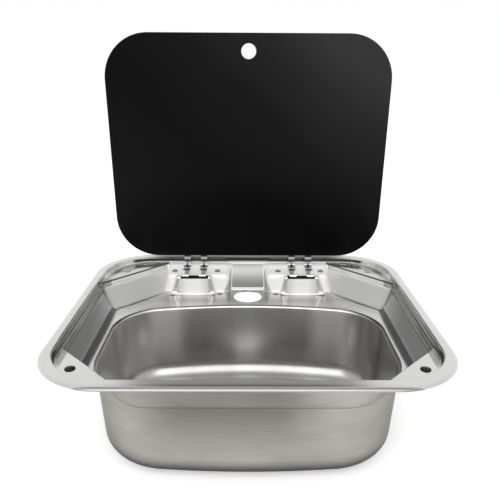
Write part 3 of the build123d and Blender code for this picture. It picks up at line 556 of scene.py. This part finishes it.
W_FRONT = wall((0, 18.5, -8), (1, 18.5, -8), (0, 20.0, -34))
W_SIDE_T = wall((196, 0, -8), (196, 1, -8), (194, 0, -16))
W_SIDE_L = wall((194, 0, -16), (194, 1, -16), (175, 0, -34))
W_DIAG_F = wall((104, 0, -8), (105, 1, -8), (92, 0, -34))
W_DIAG_T = wall((466, 0, -8), (465, 1, -8), (463, 0, -16))
W_DIAG_L = wall((463, 0, -16), (462, 1, -16), (415, 0, -34))
W_DECK = wall((0, 304.5, -8), (1, 304.5, -8), (0, 301.5, -34), (0, 400, -25))
W_DECK_S = wall((112, 303, -8), (113, 313, -8), (112.6, 303, -34), (0, 330, -25))
PAD_C = (51.6 + 100.0 + 45.6 + 108.0) / 4
W_PAD_F = wall((0, 295.4, -8), (1, 295.4, -8), (0, 292.6, -34), (0, 400, -25))
W_PAD_R = wall((100.0, 300, -8), (100.0, 301, -8), (108.0, 300, -34), (PAD_C, 300, -25))
W_PAD_L = wall((51.6, 300, -8), (51.6, 301, -8), (45.6, 300, -34), (PAD_C, 300, -25))
W_PAN_F = wall((0, 293.6, -8), (1, 293.6, -8), (0, 291.0, -34), (0, 400, -25))
W_PAN_R = wall((94.0, 300, -10), (94.0, 301, -10), (99.5, 300, -31), (PAD_C, 300, -25))
W_PAN_L = wall((56.5, 300, -10), (56.5, 301, -10), (52.5, 300, -31), (PAD_C, 300, -25))
W_BAND = wall((0, 291.4, -32.0), (1, 291.4, -32.0), (0, 289.8, -34), (0, 400, -25))
REC_Y = np.array([300.0, 307.0, 309.0, 310.4, 311.6, 313.0, 315.0, 318.0, 324.0, 330.0, 336.0, 342.0, 347.0, 350.5, 352.6, 354.0, 356.0, 372.0])
REC_Z = np.array([-38.0, -35.4, -32.8, -30.4, -29.5, -29.3, -28.9, -28.0, -25.6, -22.6, -19.2, -15.4, -11.8, -8.9, -6.0, -1.0, 4.0, 9.0])


def smooth_table(xs, ys):
    """Monotone cubic through a few heights."""
    h = np.diff(xs)
    d = np.diff(ys) / h
    m = np.zeros(len(xs))
    m[1:-1] = np.where(d[:-1] * d[1:] > 0, 2 * d[:-1] * d[1:] / (d[:-1] + d[1:] + 1e-12), 0.0)
    m[0], m[-1] = d[0], d[-1]

    def at(x):
        x = np.clip(x, xs[0], xs[-1])
        i = np.clip(np.searchsorted(xs, x) - 1, 0, len(h) - 1)
        t = (x - xs[i]) / h[i]
        t2, t3 = t * t, t * t * t
        v = (2 * t3 - 3 * t2 + 1) * ys[i] + (t3 - 2 * t2 + t) * h[i] * m[i] + (-2 * t3 + 3 * t2) * ys[i + 1] + (t3 - t2) * h[i] * m[i + 1]
        g = ((6 * t2 - 6 * t) * ys[i] + (3 * t2 - 4 * t + 1) * h[i] * m[i] + (-6 * t2 + 6 * t) * ys[i + 1] + (3 * t2 - 2 * t) * h[i] * m[i + 1]) / h[i]
        return v, g

    return at


recess_height = smooth_table(REC_Y, REC_Z)


def rounded_box(x, y, hw, hd, r):
    qx, qy = np.abs(x) - hw + r, np.abs(y - RIM_D / 2) - hd + r
    return np.minimum(np.maximum(qx, qy), 0.0) + np.hypot(np.maximum(qx, 0.0), np.maximum(qy, 0.0)) - r


def field(x, y, z):
    ax = np.abs(x)
    side = rmax(W_SIDE_T(ax, y, z), W_SIDE_L(ax, y, z), 1.0)
    panel = rmax(W_DIAG_T(ax, y, z), W_DIAG_L(ax, y, z), 0.8)
    front = rmax(W_FRONT(ax, y, z), W_DIAG_F(ax, y, z), 12.0)
    near_panel = step((panel - side) / 12.0 + 0.5)
    walls = rmax(side, panel, 1.8)
    walls = rmax(walls, front, 4.0)
    foot = 5.0 - 2.8 * near_panel
    foot = foot - 1.5 * step((front - walls) / 6.0 + 1.0)
    basin = rmax(walls, -LEDGE - z, foot)
    # the block under the hinges: deck, two pads and their raised panels
    deck = rmax(W_DECK(ax, y, z), W_DECK_S(ax, y, z), 4.0)
    pad = rmin(W_PAD_F(ax, y, z), W_BAND(ax, y, z), 0.8)
    pad = rmax(rmax(pad, W_PAD_R(ax, y, z), 2.4), W_PAD_L(ax, y, z), 2.4)
    pan = rmax(rmax(W_PAN_F(ax, y, z), W_PAN_R(ax, y, z), 1.2), W_PAN_L(ax, y, z), 1.2)
    pad = rmin(pad, pan, 0.8)
    block = rmin(deck, pad, 3.2)
    air = rmax(basin, -block, 3.0)
    # tap recess: concave back, cheeks that flare towards the ledge
    zr, slope = recess_height(y)
    cheek = ax - (23.8 + 0.1 * (z + 34.0))
    recess = rmax(cheek, (zr - z) / np.sqrt(1.0 + slope * slope), 2.2)
    recess = np.maximum(recess, 294.0 - y)
    between = np.maximum(step((50.0 - ax) / 8.0), step((ax - 102.0) / 8.0))
    air = np.maximum(rmin(air, recess, 7.0), -LEDGE - z)
    seat = rmax(rounded_box(x, y, SEAT_W / 2, RIM_D / 2 - SEAT_MARGIN, SEAT_R) - 0.12 * z, -SEAT_DEPTH - z, 1.8)
    near_deck = step((ax - 118.0) / -8.0) * step((y - 250.0) / 20.0)
    air = rmin(air, seat, 1.9 + near_deck * (0.9 + 4.0 * between))
    air = rmin(air, -z, 1.4)
    # the rolled edge
    t = -rounded_box(x, y, RIM_W / 2, RIM_D / 2, RIM_R)
    u = np.maximum(RIM_ROLL - t, 0.0) / RIM_ROLL
    v = np.maximum(z + RIM_LIP, 0.0) / RIM_LIP
    roll = (1.0 - np.hypot(u, v)) * 3.4
    return np.where(t < RIM_ROLL, roll, air)


def heights(x, y):
    lo, hi = np.full_like(x, -36.0), np.full_like(x, 0.6)
    for _ in range(34):
        mid = (lo + hi) / 2
        inside = field(x, y, mid) < 0
        hi = np.where(inside, mid, hi)
        lo = np.where(inside, lo, mid)
    z = (lo + hi) / 2
    t = np.clip(-rounded_box(x, y, RIM_W / 2, RIM_D / 2, RIM_R), 0.0, RIM_ROLL)
    rolled = -RIM_LIP + RIM_LIP * np.sqrt(np.maximum(0.0, 1.0 - ((RIM_ROLL - t) / RIM_ROLL) ** 2))
    return np.where(t < RIM_ROLL, rolled, z)


def field_normals(x, y, z):
    h = 0.02
    g = np.stack([
        field(x + h, y, z) - field(x - h, y, z),
        field(x, y + h, z) - field(x, y - h, z),
        field(x, y, z + h) - field(x, y, z - h),
    ], axis=1)
    t = -rounded_box(x, y, RIM_W / 2, RIM_D / 2, RIM_R)
    edge = t < 0.05
    if edge.any():
        gx = rounded_box(x + h, y, RIM_W / 2, RIM_D / 2, RIM_R) - rounded_box(x - h, y, RIM_W / 2, RIM_D / 2, RIM_R)
        gy = rounded_box(x, y + h, RIM_W / 2, RIM_D / 2, RIM_R) - rounded_box(x, y - h, RIM_W / 2, RIM_D / 2, RIM_R)
        g[edge] = -np.stack([gx, gy, np.zeros_like(gx)], axis=1)[edge]
    g = -g
    return g / np.maximum(np.linalg.norm(g, axis=1, keepdims=True), 1e-12)


def circle(cx, cy, r, n):
    return [(cx + r * math.cos(2 * math.pi * i / n), cy + r * math.sin(2 * math.pi * i / n)) for i in range(n)]


def dense(points, length):
    """Points added along a closed outline so that no side is longer than length."""
    out = []
    for i, a in enumerate(points):
        b = points[(i + 1) % len(points)]
        n = max(1, math.ceil(math.hypot(b[0] - a[0], b[1] - a[1]) / length))
        out += [(a[0] + (b[0] - a[0]) * k / n, a[1] + (b[1] - a[1]) * k / n) for k in range(n)]
    return out


def inside_polygon(px, py, poly):
    hit = np.zeros(len(px), bool)
    x0, y0 = poly[-1]
    for x1, y1 in poly:
        if y0 != y1:
            cross = ((y1 > py) != (y0 > py)) & (px < (x0 - x1) * (py - y1) / (y0 - y1) + x1)
            hit ^= cross
        x0, y0 = x1, y1
    return hit


def slot_outline(s):
    """The strap slot: back edge on the pad's top, sill in its front face."""
    a, b = SLOT_X
    r = 2.2
    back = [(b, SLOT_BACK - r)]
    for k in range(1, 5):
        t = math.radians(90 * k / 4)
        back.append((b - r + r * math.cos(t), SLOT_BACK - r + r * math.sin(t)))
    for k in range(0, 5):
        t = math.radians(90 + 90 * k / 4)
        back.append((a + r + r * math.cos(t), SLOT_BACK - r + r * math.sin(t)))
    xs = np.linspace(a, b, 40)
    lo, hi = np.full_like(xs, 288.0), np.full_like(xs, 300.0)
    for _ in range(40):
        mid = (lo + hi) / 2
        high = heights(xs, mid) > SLOT_SILL
        hi = np.where(high, mid, hi)
        lo = np.where(high, lo, mid)
    sill = list(zip(xs, (lo + hi) / 2))
    pts = back + sill
    return [(s * x, y) for x, y in (pts if s > 0 else pts[::-1])]


def build_tray(material, under):
    outer = dense([(x, y) for x, y in rounded_rect_xy(RIM_W, RIM_D, RIM_R, 60)], 3.0)
    holes = [dense([(x, y) for x, y in bowl_outline(-LEDGE, -2.0, 60)], 2.2), circle(0, TAP_Y, TAP_R, 96)]
    for s in (1, -1):
        holes.append(dense(slot_outline(s), 1.2))
        holes += [circle(s * x, SCREW_Y, 2.2, 16) for x in SCREWS]
        holes += [circle(s * x, y, 2.5, 20) for x, y in BUMPERS]
    pts, edges = [], []
    for loop in [outer] + holes:
        k = len(pts)
        pts += loop
        edges += [(k + i, k + (i + 1) % len(loop)) for i in range(len(loop))]
    rims = np.array(pts)
    grid = []
    pitch = 7.0
    row = 0
    y = 3.0
    while y < RIM_D - 2.0:
        x = -RIM_W / 2 + 3.0 + (pitch / 2 if row % 2 else 0.0)
        while x < RIM_W / 2 - 2.0:
            grid.append((x, y))
            x += pitch
        y += pitch * 0.866
        row += 1
    grid = np.array(grid)
    keep = rounded_box(grid[:, 0], grid[:, 1], RIM_W / 2, RIM_D / 2, RIM_R) < -2.5
    for loop in holes:
        keep &= ~inside_polygon(grid[:, 0], grid[:, 1], loop)
    grid = grid[keep]
    gap = np.full(len(grid), 1e9)
    for i in range(0, len(rims), 64):
        block = rims[i:i + 64]
        gap = np.minimum(gap, np.min(np.hypot(grid[:, None, 0] - block[None, :, 0], grid[:, None, 1] - block[None, :, 1]), axis=1))
    grid = grid[gap > 1.8]
    coords = [Vector((float(a), float(b))) for a, b in pts] + [Vector((float(a), float(b))) for a, b in grid]
    vs, _, fs, _, _, _ = mathutils.geometry.delaunay_2d_cdt(coords, edges, [], 0, 1e-5, False)
    xy = np.array([(v.x, v.y) for v in vs])
    tri = np.array([f for f in fs if len(f) == 3])
    mid = xy[tri].mean(axis=1)
    ok = inside_polygon(mid[:, 0], mid[:, 1], outer)
    for loop in holes:
        ok &= ~inside_polygon(mid[:, 0], mid[:, 1], loop)
    tri = tri[ok]
    a, b, c = xy[tri[:, 0]], xy[tri[:, 1]], xy[tri[:, 2]]
    area2 = (b[:, 0] - a[:, 0]) * (c[:, 1] - a[:, 1]) - (b[:, 1] - a[:, 1]) * (c[:, 0] - a[:, 0])
    tri = tri[np.abs(area2) > 1e-9]
    area2 = area2[np.abs(area2) > 1e-9]
    tri[area2 < 0] = tri[area2 < 0][:, ::-1]
    z = heights(xy[:, 0], xy[:, 1])
    # refine: split the longest side wherever the sheet bends away from its chord
    for _ in range(11):
        n = len(xy)
        e = np.sort(np.concatenate([tri[:, [0, 1]], tri[:, [1, 2]], tri[:, [2, 0]]]), axis=1)
        key, inv = np.unique(e[:, 0] * np.int64(n) + e[:, 1], return_inverse=True)
        ea, eb = key // n, key % n
        mx, my = (xy[ea, 0] + xy[eb, 0]) / 2, (xy[ea, 1] + xy[eb, 1]) / 2
        mz = (z[ea] + z[eb]) / 2
        length = np.sqrt((xy[ea, 0] - xy[eb, 0]) ** 2 + (xy[ea, 1] - xy[eb, 1]) ** 2 + (z[ea] - z[eb]) ** 2)
        off = np.abs(field(mx, my, mz))
        mark = ((off > 0.08) & (length > 0.9)) | (length > 9.0)
        per = inv.reshape(3, -1).T
        longest = np.argmax(length[per], axis=1)
        for _ in range(40):
            any_marked = mark[per].any(axis=1)
            want = per[np.arange(len(per)), longest][any_marked]
            if mark[want].all():
                break
            mark[want] = True
        if not mark.any():
            break
        new = np.full(len(key), -1)
        ids = np.nonzero(mark)[0]
        new[ids] = n + np.arange(len(ids))
        nx, ny = mx[ids], my[ids]
        xy = np.concatenate([xy, np.stack([nx, ny], axis=1)])
        z = np.concatenate([z, heights(nx, ny)])
        out = []
        m = new[per]
        count = (m >= 0).sum(axis=1)
        out.append(tri[count == 0])
        # rotate each triangle so that its longest side is side 0
        rows = np.nonzero(count > 0)[0]
        k = longest[rows]
        t = np.stack([tri[rows, k], tri[rows, (k + 1) % 3], tri[rows, (k + 2) % 3]], axis=1)
        mm = np.stack([m[rows, k], m[rows, (k + 1) % 3], m[rows, (k + 2) % 3]], axis=1)
        p, q, r = t[:, 0], t[:, 1], t[:, 2]
        m0, m1, m2 = mm[:, 0], mm[:, 1], mm[:, 2]
        one = (m1 < 0) & (m2 < 0)
        out += [np.stack([p, m0, r], 1)[one], np.stack([m0, q, r], 1)[one]]
        two = (m1 >= 0) & (m2 < 0)
        out += [np.stack([p, m0, r], 1)[two], np.stack([m0, q, m1], 1)[two], np.stack([m0, m1, r], 1)[two]]
        two = (m1 < 0) & (m2 >= 0)
        out += [np.stack([m0, q, r], 1)[two], np.stack([p, m0, m2], 1)[two], np.stack([m0, r, m2], 1)[two]]
        all3 = (m1 >= 0) & (m2 >= 0)
        out += [np.stack([p, m0, m2], 1)[all3], np.stack([m0, q, m1], 1)[all3], np.stack([m0, m1, r], 1)[all3], np.stack([m0, r, m2], 1)[all3]]
        tri = np.concatenate(out)
    normal = field_normals(xy[:, 0], xy[:, 1], z)
    top = np.stack([xy[:, 0], xy[:, 1], z], axis=1)
    bottom = top - normal * SHEET
    n = len(top)
    # sides: every edge with only one triangle
    e = np.concatenate([tri[:, [0, 1]], tri[:, [1, 2]], tri[:, [2, 0]]])
    key = np.sort(e, axis=1)
    key = key[:, 0] * np.int64(n) + key[:, 1]
    _, first, times = np.unique(key, return_index=True, return_counts=True)
    rim = e[first[times == 1]]
    quads = np.stack([rim[:, 1], rim[:, 0], rim[:, 0] + n, rim[:, 1] + n], axis=1)
    verts = np.concatenate([top, bottom])
    verts[:, 1] -= RIM_D / 2
    verts[:, 2] += RIM_LIP
    faces = [tuple(int(i) for i in t) for t in tri] + [tuple(int(i) + n for i in t[::-1]) for t in tri] + [tuple(int(i) for i in q) for q in quads]
    mesh = bpy.data.meshes.new("tray_pressing")
    mesh.from_pydata((verts / 1000.0).tolist(), [], faces)
    for p in mesh.polygons:
        p.use_smooth = True
    mesh.materials.append(material)
    mesh.materials.append(under)
    index = np.zeros(len(faces), np.int32)
    index[len(tri):2 * len(tri)] = 1
    mesh.polygons.foreach_set("material_index", index)
    # the sheet's cut edges are flat across; its two faces take the field's own normals
    loops = np.concatenate([normal[tri.reshape(-1)], -normal[tri[:, ::-1].reshape(-1)]])
    d = top[rim[:, 1]] - top[rim[:, 0]]
    side = np.cross(d, normal[rim[:, 0]] + normal[rim[:, 1]])
    side /= np.maximum(np.linalg.norm(side, axis=1, keepdims=True), 1e-12)
    loops = np.concatenate([loops, np.repeat(side, 4, axis=0)])
    mesh.normals_split_custom_set(loops.tolist())
    mesh.update()
    obj = bpy.data.objects.new("tray_pressing", mesh)
    bpy.context.scene.collection.objects.link(obj)
    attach(obj, SINK)
    return obj


tray = build_tray(MAT["tray"], MAT["outside"])
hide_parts("rim_tray")


# ---------------------------------------------------------------------------
# Bowl: inner and outer skins as fine rings of the same outline.
# ---------------------------------------------------------------------------
def bowl_rings(inset, floor, radius, shoulder):
    rings = [(-LEDGE - SHEET + z, inset - g) for z, g in shoulder]
    top = rings[-1][0]
    knee = -floor + radius
    for i in range(1, 9):
        rings.append((top + (knee - top) * i / 9, inset))
    for k in range(0, 13):
        a = math.radians(90 * k / 12)
        rings.append((knee - radius * math.sin(a), inset + radius * (1 - math.cos(a))))
    return rings


def build_bowl():
    bm = bmesh.new()

    def ring(z, inset):
        return [bm.verts.new(P(x, y, z)) for x, y in bowl_outline(z, inset)]

    n = len(bowl_outline(-40, 0))

    def floor_ring(edge, z_edge, t, radius, z):
        """Between the floor's outline and a circle round the waste."""
        pts = []
        for x, y in edge:
            dx, dy = x, y - WASTE_Y
            d = math.hypot(dx, dy)
            r = d + (radius - d) * t
            pts.append(bm.verts.new(P(dx / d * r, WASTE_Y + dy / d * r, z_edge + (z - z_edge) * t)))
        return pts

    inner = []
    shoulder_in = [(0.0, 2.3), (-0.15, 1.6), (-0.5, 0.95), (-1.1, 0.42), (-2.0, 0.1), (-3.0, 0.0)]
    rings = bowl_rings(SHEET, BOWL_FLOOR - SHEET, BOWL_FILLET - SHEET, shoulder_in)
    for z, inset in rings:
        inner.append(ring(z, inset))
    last_z, last_inset = rings[-1]
    edge = bowl_outline(last_z, last_inset)
    for t in (0.25, 0.5, 0.75, 1.0):
        inner.append(floor_ring(edge, last_z, t, WASTE_DISH_R + 2.6, last_z - 0.15 * t))
    for r, dz in ((WASTE_DISH_R + 1.0, -0.45), (WASTE_DISH_R - 1.0, -1.5), (WASTE_DISH_R - 2.6, -2.3), (WASTE_DISH_R - 4.2, -2.5), (WASTE_R, -2.5)):
        inner.append(floor_ring(edge, last_z + dz, 1.0, r, last_z + dz))
    outer = []
    shoulder_out = [(-1.0, 5.5 * -1 * -1), (-1.0, 1.1), (-1.3, 0.5), (-2.0, 0.12), (-3.2, 0.0)]
    rings = bowl_rings(0.0, BOWL_FLOOR, BOWL_FILLET, shoulder_out)
    for z, inset in rings:
        outer.append(ring(z, inset))
    last_z, last_inset = rings[-1]
    edge = bowl_outline(last_z, last_inset)
    for t in (0.25, 0.5, 0.75, 1.0):
        outer.append(floor_ring(edge, last_z, t, WASTE_DISH_R + 3.4, last_z))
    for r, dz in ((WASTE_DISH_R + 1.4, -0.4), (WASTE_DISH_R - 0.6, -1.5), (WASTE_DISH_R - 2.2, -2.3), (WASTE_DISH_R - 3.8, -2.5), (WASTE_R, -2.5)):
        outer.append(floor_ring(edge, last_z + dz, 1.0, r, last_z + dz))
    flange = [bm.verts.new(P(x, y, -LEDGE - SHEET)) for x, y in bowl_outline(-LEDGE - SHEET, -5.5)]
    for a, b in zip(inner, inner[1:]):
        bridge(bm, b, a)
    for a, b in zip(outer, outer[1:]):
        bridge(bm, a, b)
    bridge(bm, outer[-1], inner[-1])
    bridge(bm, inner[0], flange)
    bridge(bm, flange, outer[0])
    bmesh.ops.recalc_face_normals(bm, faces=bm.faces)
    first = n * (len(inner) - 1)
    for i, f in enumerate(bm.faces):
        if first <= i < first + n * (len(outer) - 1) or i >= first + n * len(outer) + n:
            f.material_index = 1
        elif i >= first + n * len(outer):
            f.material_index = 2
    obj = object_from("bowl_shell", bm, MAT["bowl"], SINK, 40)
    obj.data.materials.append(MAT["outside"])
    obj.data.materials.append(MAT["seam"])
    return obj


bowl = build_bowl()
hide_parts("bowl")


# ---------------------------------------------------------------------------
# Lid: a slab of glass with polished, slightly rounded edges.
# ---------------------------------------------------------------------------
U = Vector((0, -math.sin(LID_LEAN), math.cos(LID_LEAN)))
V = Vector((0, math.cos(LID_LEAN), math.sin(LID_LEAN)))


def L(x, u, v):
    return P(0, LID_EDGE_Y, LID_EDGE_Z) + (Vector((x, 0, 0)) + U * u + V * v) / 1000.0


def rounded_rect(w, h, r, n=20):
    pts = []
    for cx, cy, a0 in ((w / 2 - r, h - r, 0), (-w / 2 + r, h - r, 90), (-w / 2 + r, r, 180), (w / 2 - r, r, 270)):
        for i in range(n + 1):
            a = math.radians(a0 + 90 * i / n)
            pts.append((cx + r * math.cos(a), cy + r * math.sin(a)))
    return pts


def build_lid():
    bm = bmesh.new()
    edge_round = [(0.0, 2.6), (0.0, 1.1), (0.12, 0.55), (0.45, 0.16), (1.0, 0.0), (LID_T - 1.0, 0.0), (LID_T - 0.45, 0.16), (LID_T - 0.12, 0.55), (LID_T, 1.1), (LID_T, 2.6)]
    outer, hole = [], []
    for v, g in edge_round:
        outer.append([bm.verts.new(L(x, u + g, v)) for x, u in rounded_rect(LID_W - 2 * g, LID_H - 2 * g, LID_R - g)])
    for v, g in edge_round:
        ring = []
        for i in range(64):
            a = 2 * math.pi * i / 64
            ring.append(bm.verts.new(L((FINGER_R + g) * math.cos(a), LID_H - FINGER_FROM_TOP + (FINGER_R + g) * math.sin(a), v)))
        hole.append(ring)
    for rings, flip in ((outer, False), (hole, True)):
        for a, b in zip(rings, rings[1:]):
            bridge(bm, a, b)
    for k in (0, -1):
        edges = []
        for ring in (outer[k], hole[k]):
            for i, v in enumerate(ring):
                w = ring[(i + 1) % len(ring)]
                edges.append(bm.edges.get((v, w)) or bm.edges.new((v, w)))
        bmesh.ops.triangle_fill(bm, edges=edges, use_beauty=True)
    bmesh.ops.recalc_face_normals(bm, faces=bm.faces)
    return object_from("lid_glass_panel", bm, MAT["glass"], LID, 40)


lid = build_lid()
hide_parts("glass_lid")

# ---------------------------------------------------------------------------
# The CAD nodes that are shown as they are, with their materials.
# ---------------------------------------------------------------------------
FINISH = {
    "rim_seal": "seal",
    "bumper_front_left": "bumper", "bumper_front_right": "bumper", "bumper_rear_left": "clear", "bumper_rear_right": "clear",
    "hinge_strap_left_outer": "strap", "hinge_strap_left_inner": "strap", "hinge_strap_right_inner": "strap", "hinge_strap_right_outer": "strap",
    "hinge_pins_left": "fastener", "hinge_pins_right": "fastener",
    "hinge_backing_plate_left": "plate", "hinge_backing_plate_right": "plate",
    "hinge_screws_left": "screw", "hinge_screws_right": "screw",
    "hinge_nuts_left": "fastener", "hinge_nuts_right": "fastener",
    "hinge_leaf_left": "leaf", "hinge_leaf_right": "leaf",
    "leaf_bond_pad_left": "adhesive", "leaf_bond_pad_right": "adhesive",
}
for name, finish in FINISH.items():
    paint(nodes[name], MAT[finish])

# ---------------------------------------------------------------------------
# Floor, light and camera.
# ---------------------------------------------------------------------------
floor_mesh = bpy.data.meshes.new("studio_floor")
fb = bmesh.new()
S = 6.0
z0 = -0.1324
vs = [fb.verts.new(p) for p in ((-S, -S, z0), (S, -S, z0), (S, S, z0), (-S, S, z0))]
fb.faces.new(vs)
fb.to_mesh(floor_mesh)
fb.free()
floor = bpy.data.objects.new("studio_floor", floor_mesh)
bpy.context.scene.collection.objects.link(floor)
fm, fnt, fbsdf = new_material("floor_paper")
fbsdf.inputs["Base Color"].default_value = (0.93, 0.93, 0.93, 1)
fbsdf.inputs["Roughness"].default_value = 0.9
fbsdf.inputs["Emission Color"].default_value = (1, 1, 1, 1)
fbsdf.inputs["Emission Strength"].default_value = 0.4
floor_mesh.materials.append(fm)

world = bpy.data.worlds.new("studio")
bpy.context.scene.world = world
world.use_nodes = True
wn = world.node_tree
bg = wn.nodes["Background"]
# a room that is bright overhead and behind the sink, and dimmer in front of it
coord = wn.nodes.new("ShaderNodeTexCoord")
axes = wn.nodes.new("ShaderNodeSeparateXYZ")
wn.links.new(coord.outputs["Generated"], axes.inputs["Vector"])


def level(value, stops):
    r = wn.nodes.new("ShaderNodeValToRGB")
    r.color_ramp.interpolation = "EASE"
    e = r.color_ramp.elements
    e[0].position, e[0].color = stops[0][0], colour(stops[0][1])
    e[1].position, e[1].color = stops[-1][0], colour(stops[-1][1])
    for pos, c in stops[1:-1]:
        x = e.new(pos)
        x.color = colour(c)
    m = wn.nodes.new("ShaderNodeMapRange")
    m.inputs["From Min"].default_value = -1.0
    wn.links.new(value, m.inputs["Value"])
    wn.links.new(m.outputs["Result"], r.inputs["Fac"])
    return r.outputs["Color"]


horizon = level(axes.outputs["Y"], [(0.0, (0.86, 0.86, 0.858)), (0.35, (0.9, 0.9, 0.9)), (0.66, (0.97, 0.97, 0.97)), (1.0, (1, 1, 1))])
overhead = level(axes.outputs["Z"], [(0.0, 0.0), (0.72, 0.0), (0.95, 1.0), (1.0, 1.0)])
blend = wn.nodes.new("ShaderNodeMix")
blend.data_type = "RGBA"
wn.links.new(overhead, blend.inputs["Factor"])
wn.links.new(horizon, blend.inputs["A"])
blend.inputs["B"].default_value = (0.5, 0.5, 0.5, 1)
wn.links.new(blend.outputs["Result"], bg.inputs["Color"])
bg.inputs["Strength"].default_value = 1.0


def area(name, size, energy, position, target, size_y=None):
    data = bpy.data.lights.new(name, "AREA")
    data.shape = "RECTANGLE"
    data.size = size
    data.size_y = size_y or size
    data.energy = energy
    o = bpy.data.objects.new(name, data)
    bpy.context.scene.collection.objects.link(o)
    o.location = position
    o.rotation_euler = (Vector(target) - Vector(position)).to_track_quat("-Z", "Y").to_euler()
    return o


area("front_soft", 1.7, 16, (-0.15, -1.15, 1.3), (0, 0.05, -0.02))
area("top_soft", 2.8, 7, (0.0, -0.1, 1.5), (0, 0, 0))

cam_data = bpy.data.cameras.new("camera")
cam_data.lens = 40.262
cam_data.sensor_width = 36.0
cam_data.sensor_fit = "HORIZONTAL"
cam = bpy.data.objects.new("camera", cam_data)
bpy.context.scene.collection.objects.link(cam)
pitch, yaw, roll = math.radians(18.642), math.radians(-0.410), math.radians(0.323)
forward = Vector((-math.sin(yaw) * math.cos(pitch), math.cos(yaw) * math.cos(pitch), -math.sin(pitch)))
right = Vector((math.cos(yaw), math.sin(yaw), 0))
up = right.cross(forward)
r2 = right * math.cos(roll) + up * math.sin(roll)
u2 = up * math.cos(roll) - right * math.sin(roll)
m = Matrix((r2, u2, -forward)).transposed().to_4x4()
m.translation = Vector((-0.002354, -0.617837, 0.279987))
cam.matrix_world = m
bpy.context.scene.camera = cam

bpy.context.scene.view_settings.view_transform = "Standard"
bpy.context.scene.view_settings.look = "None"
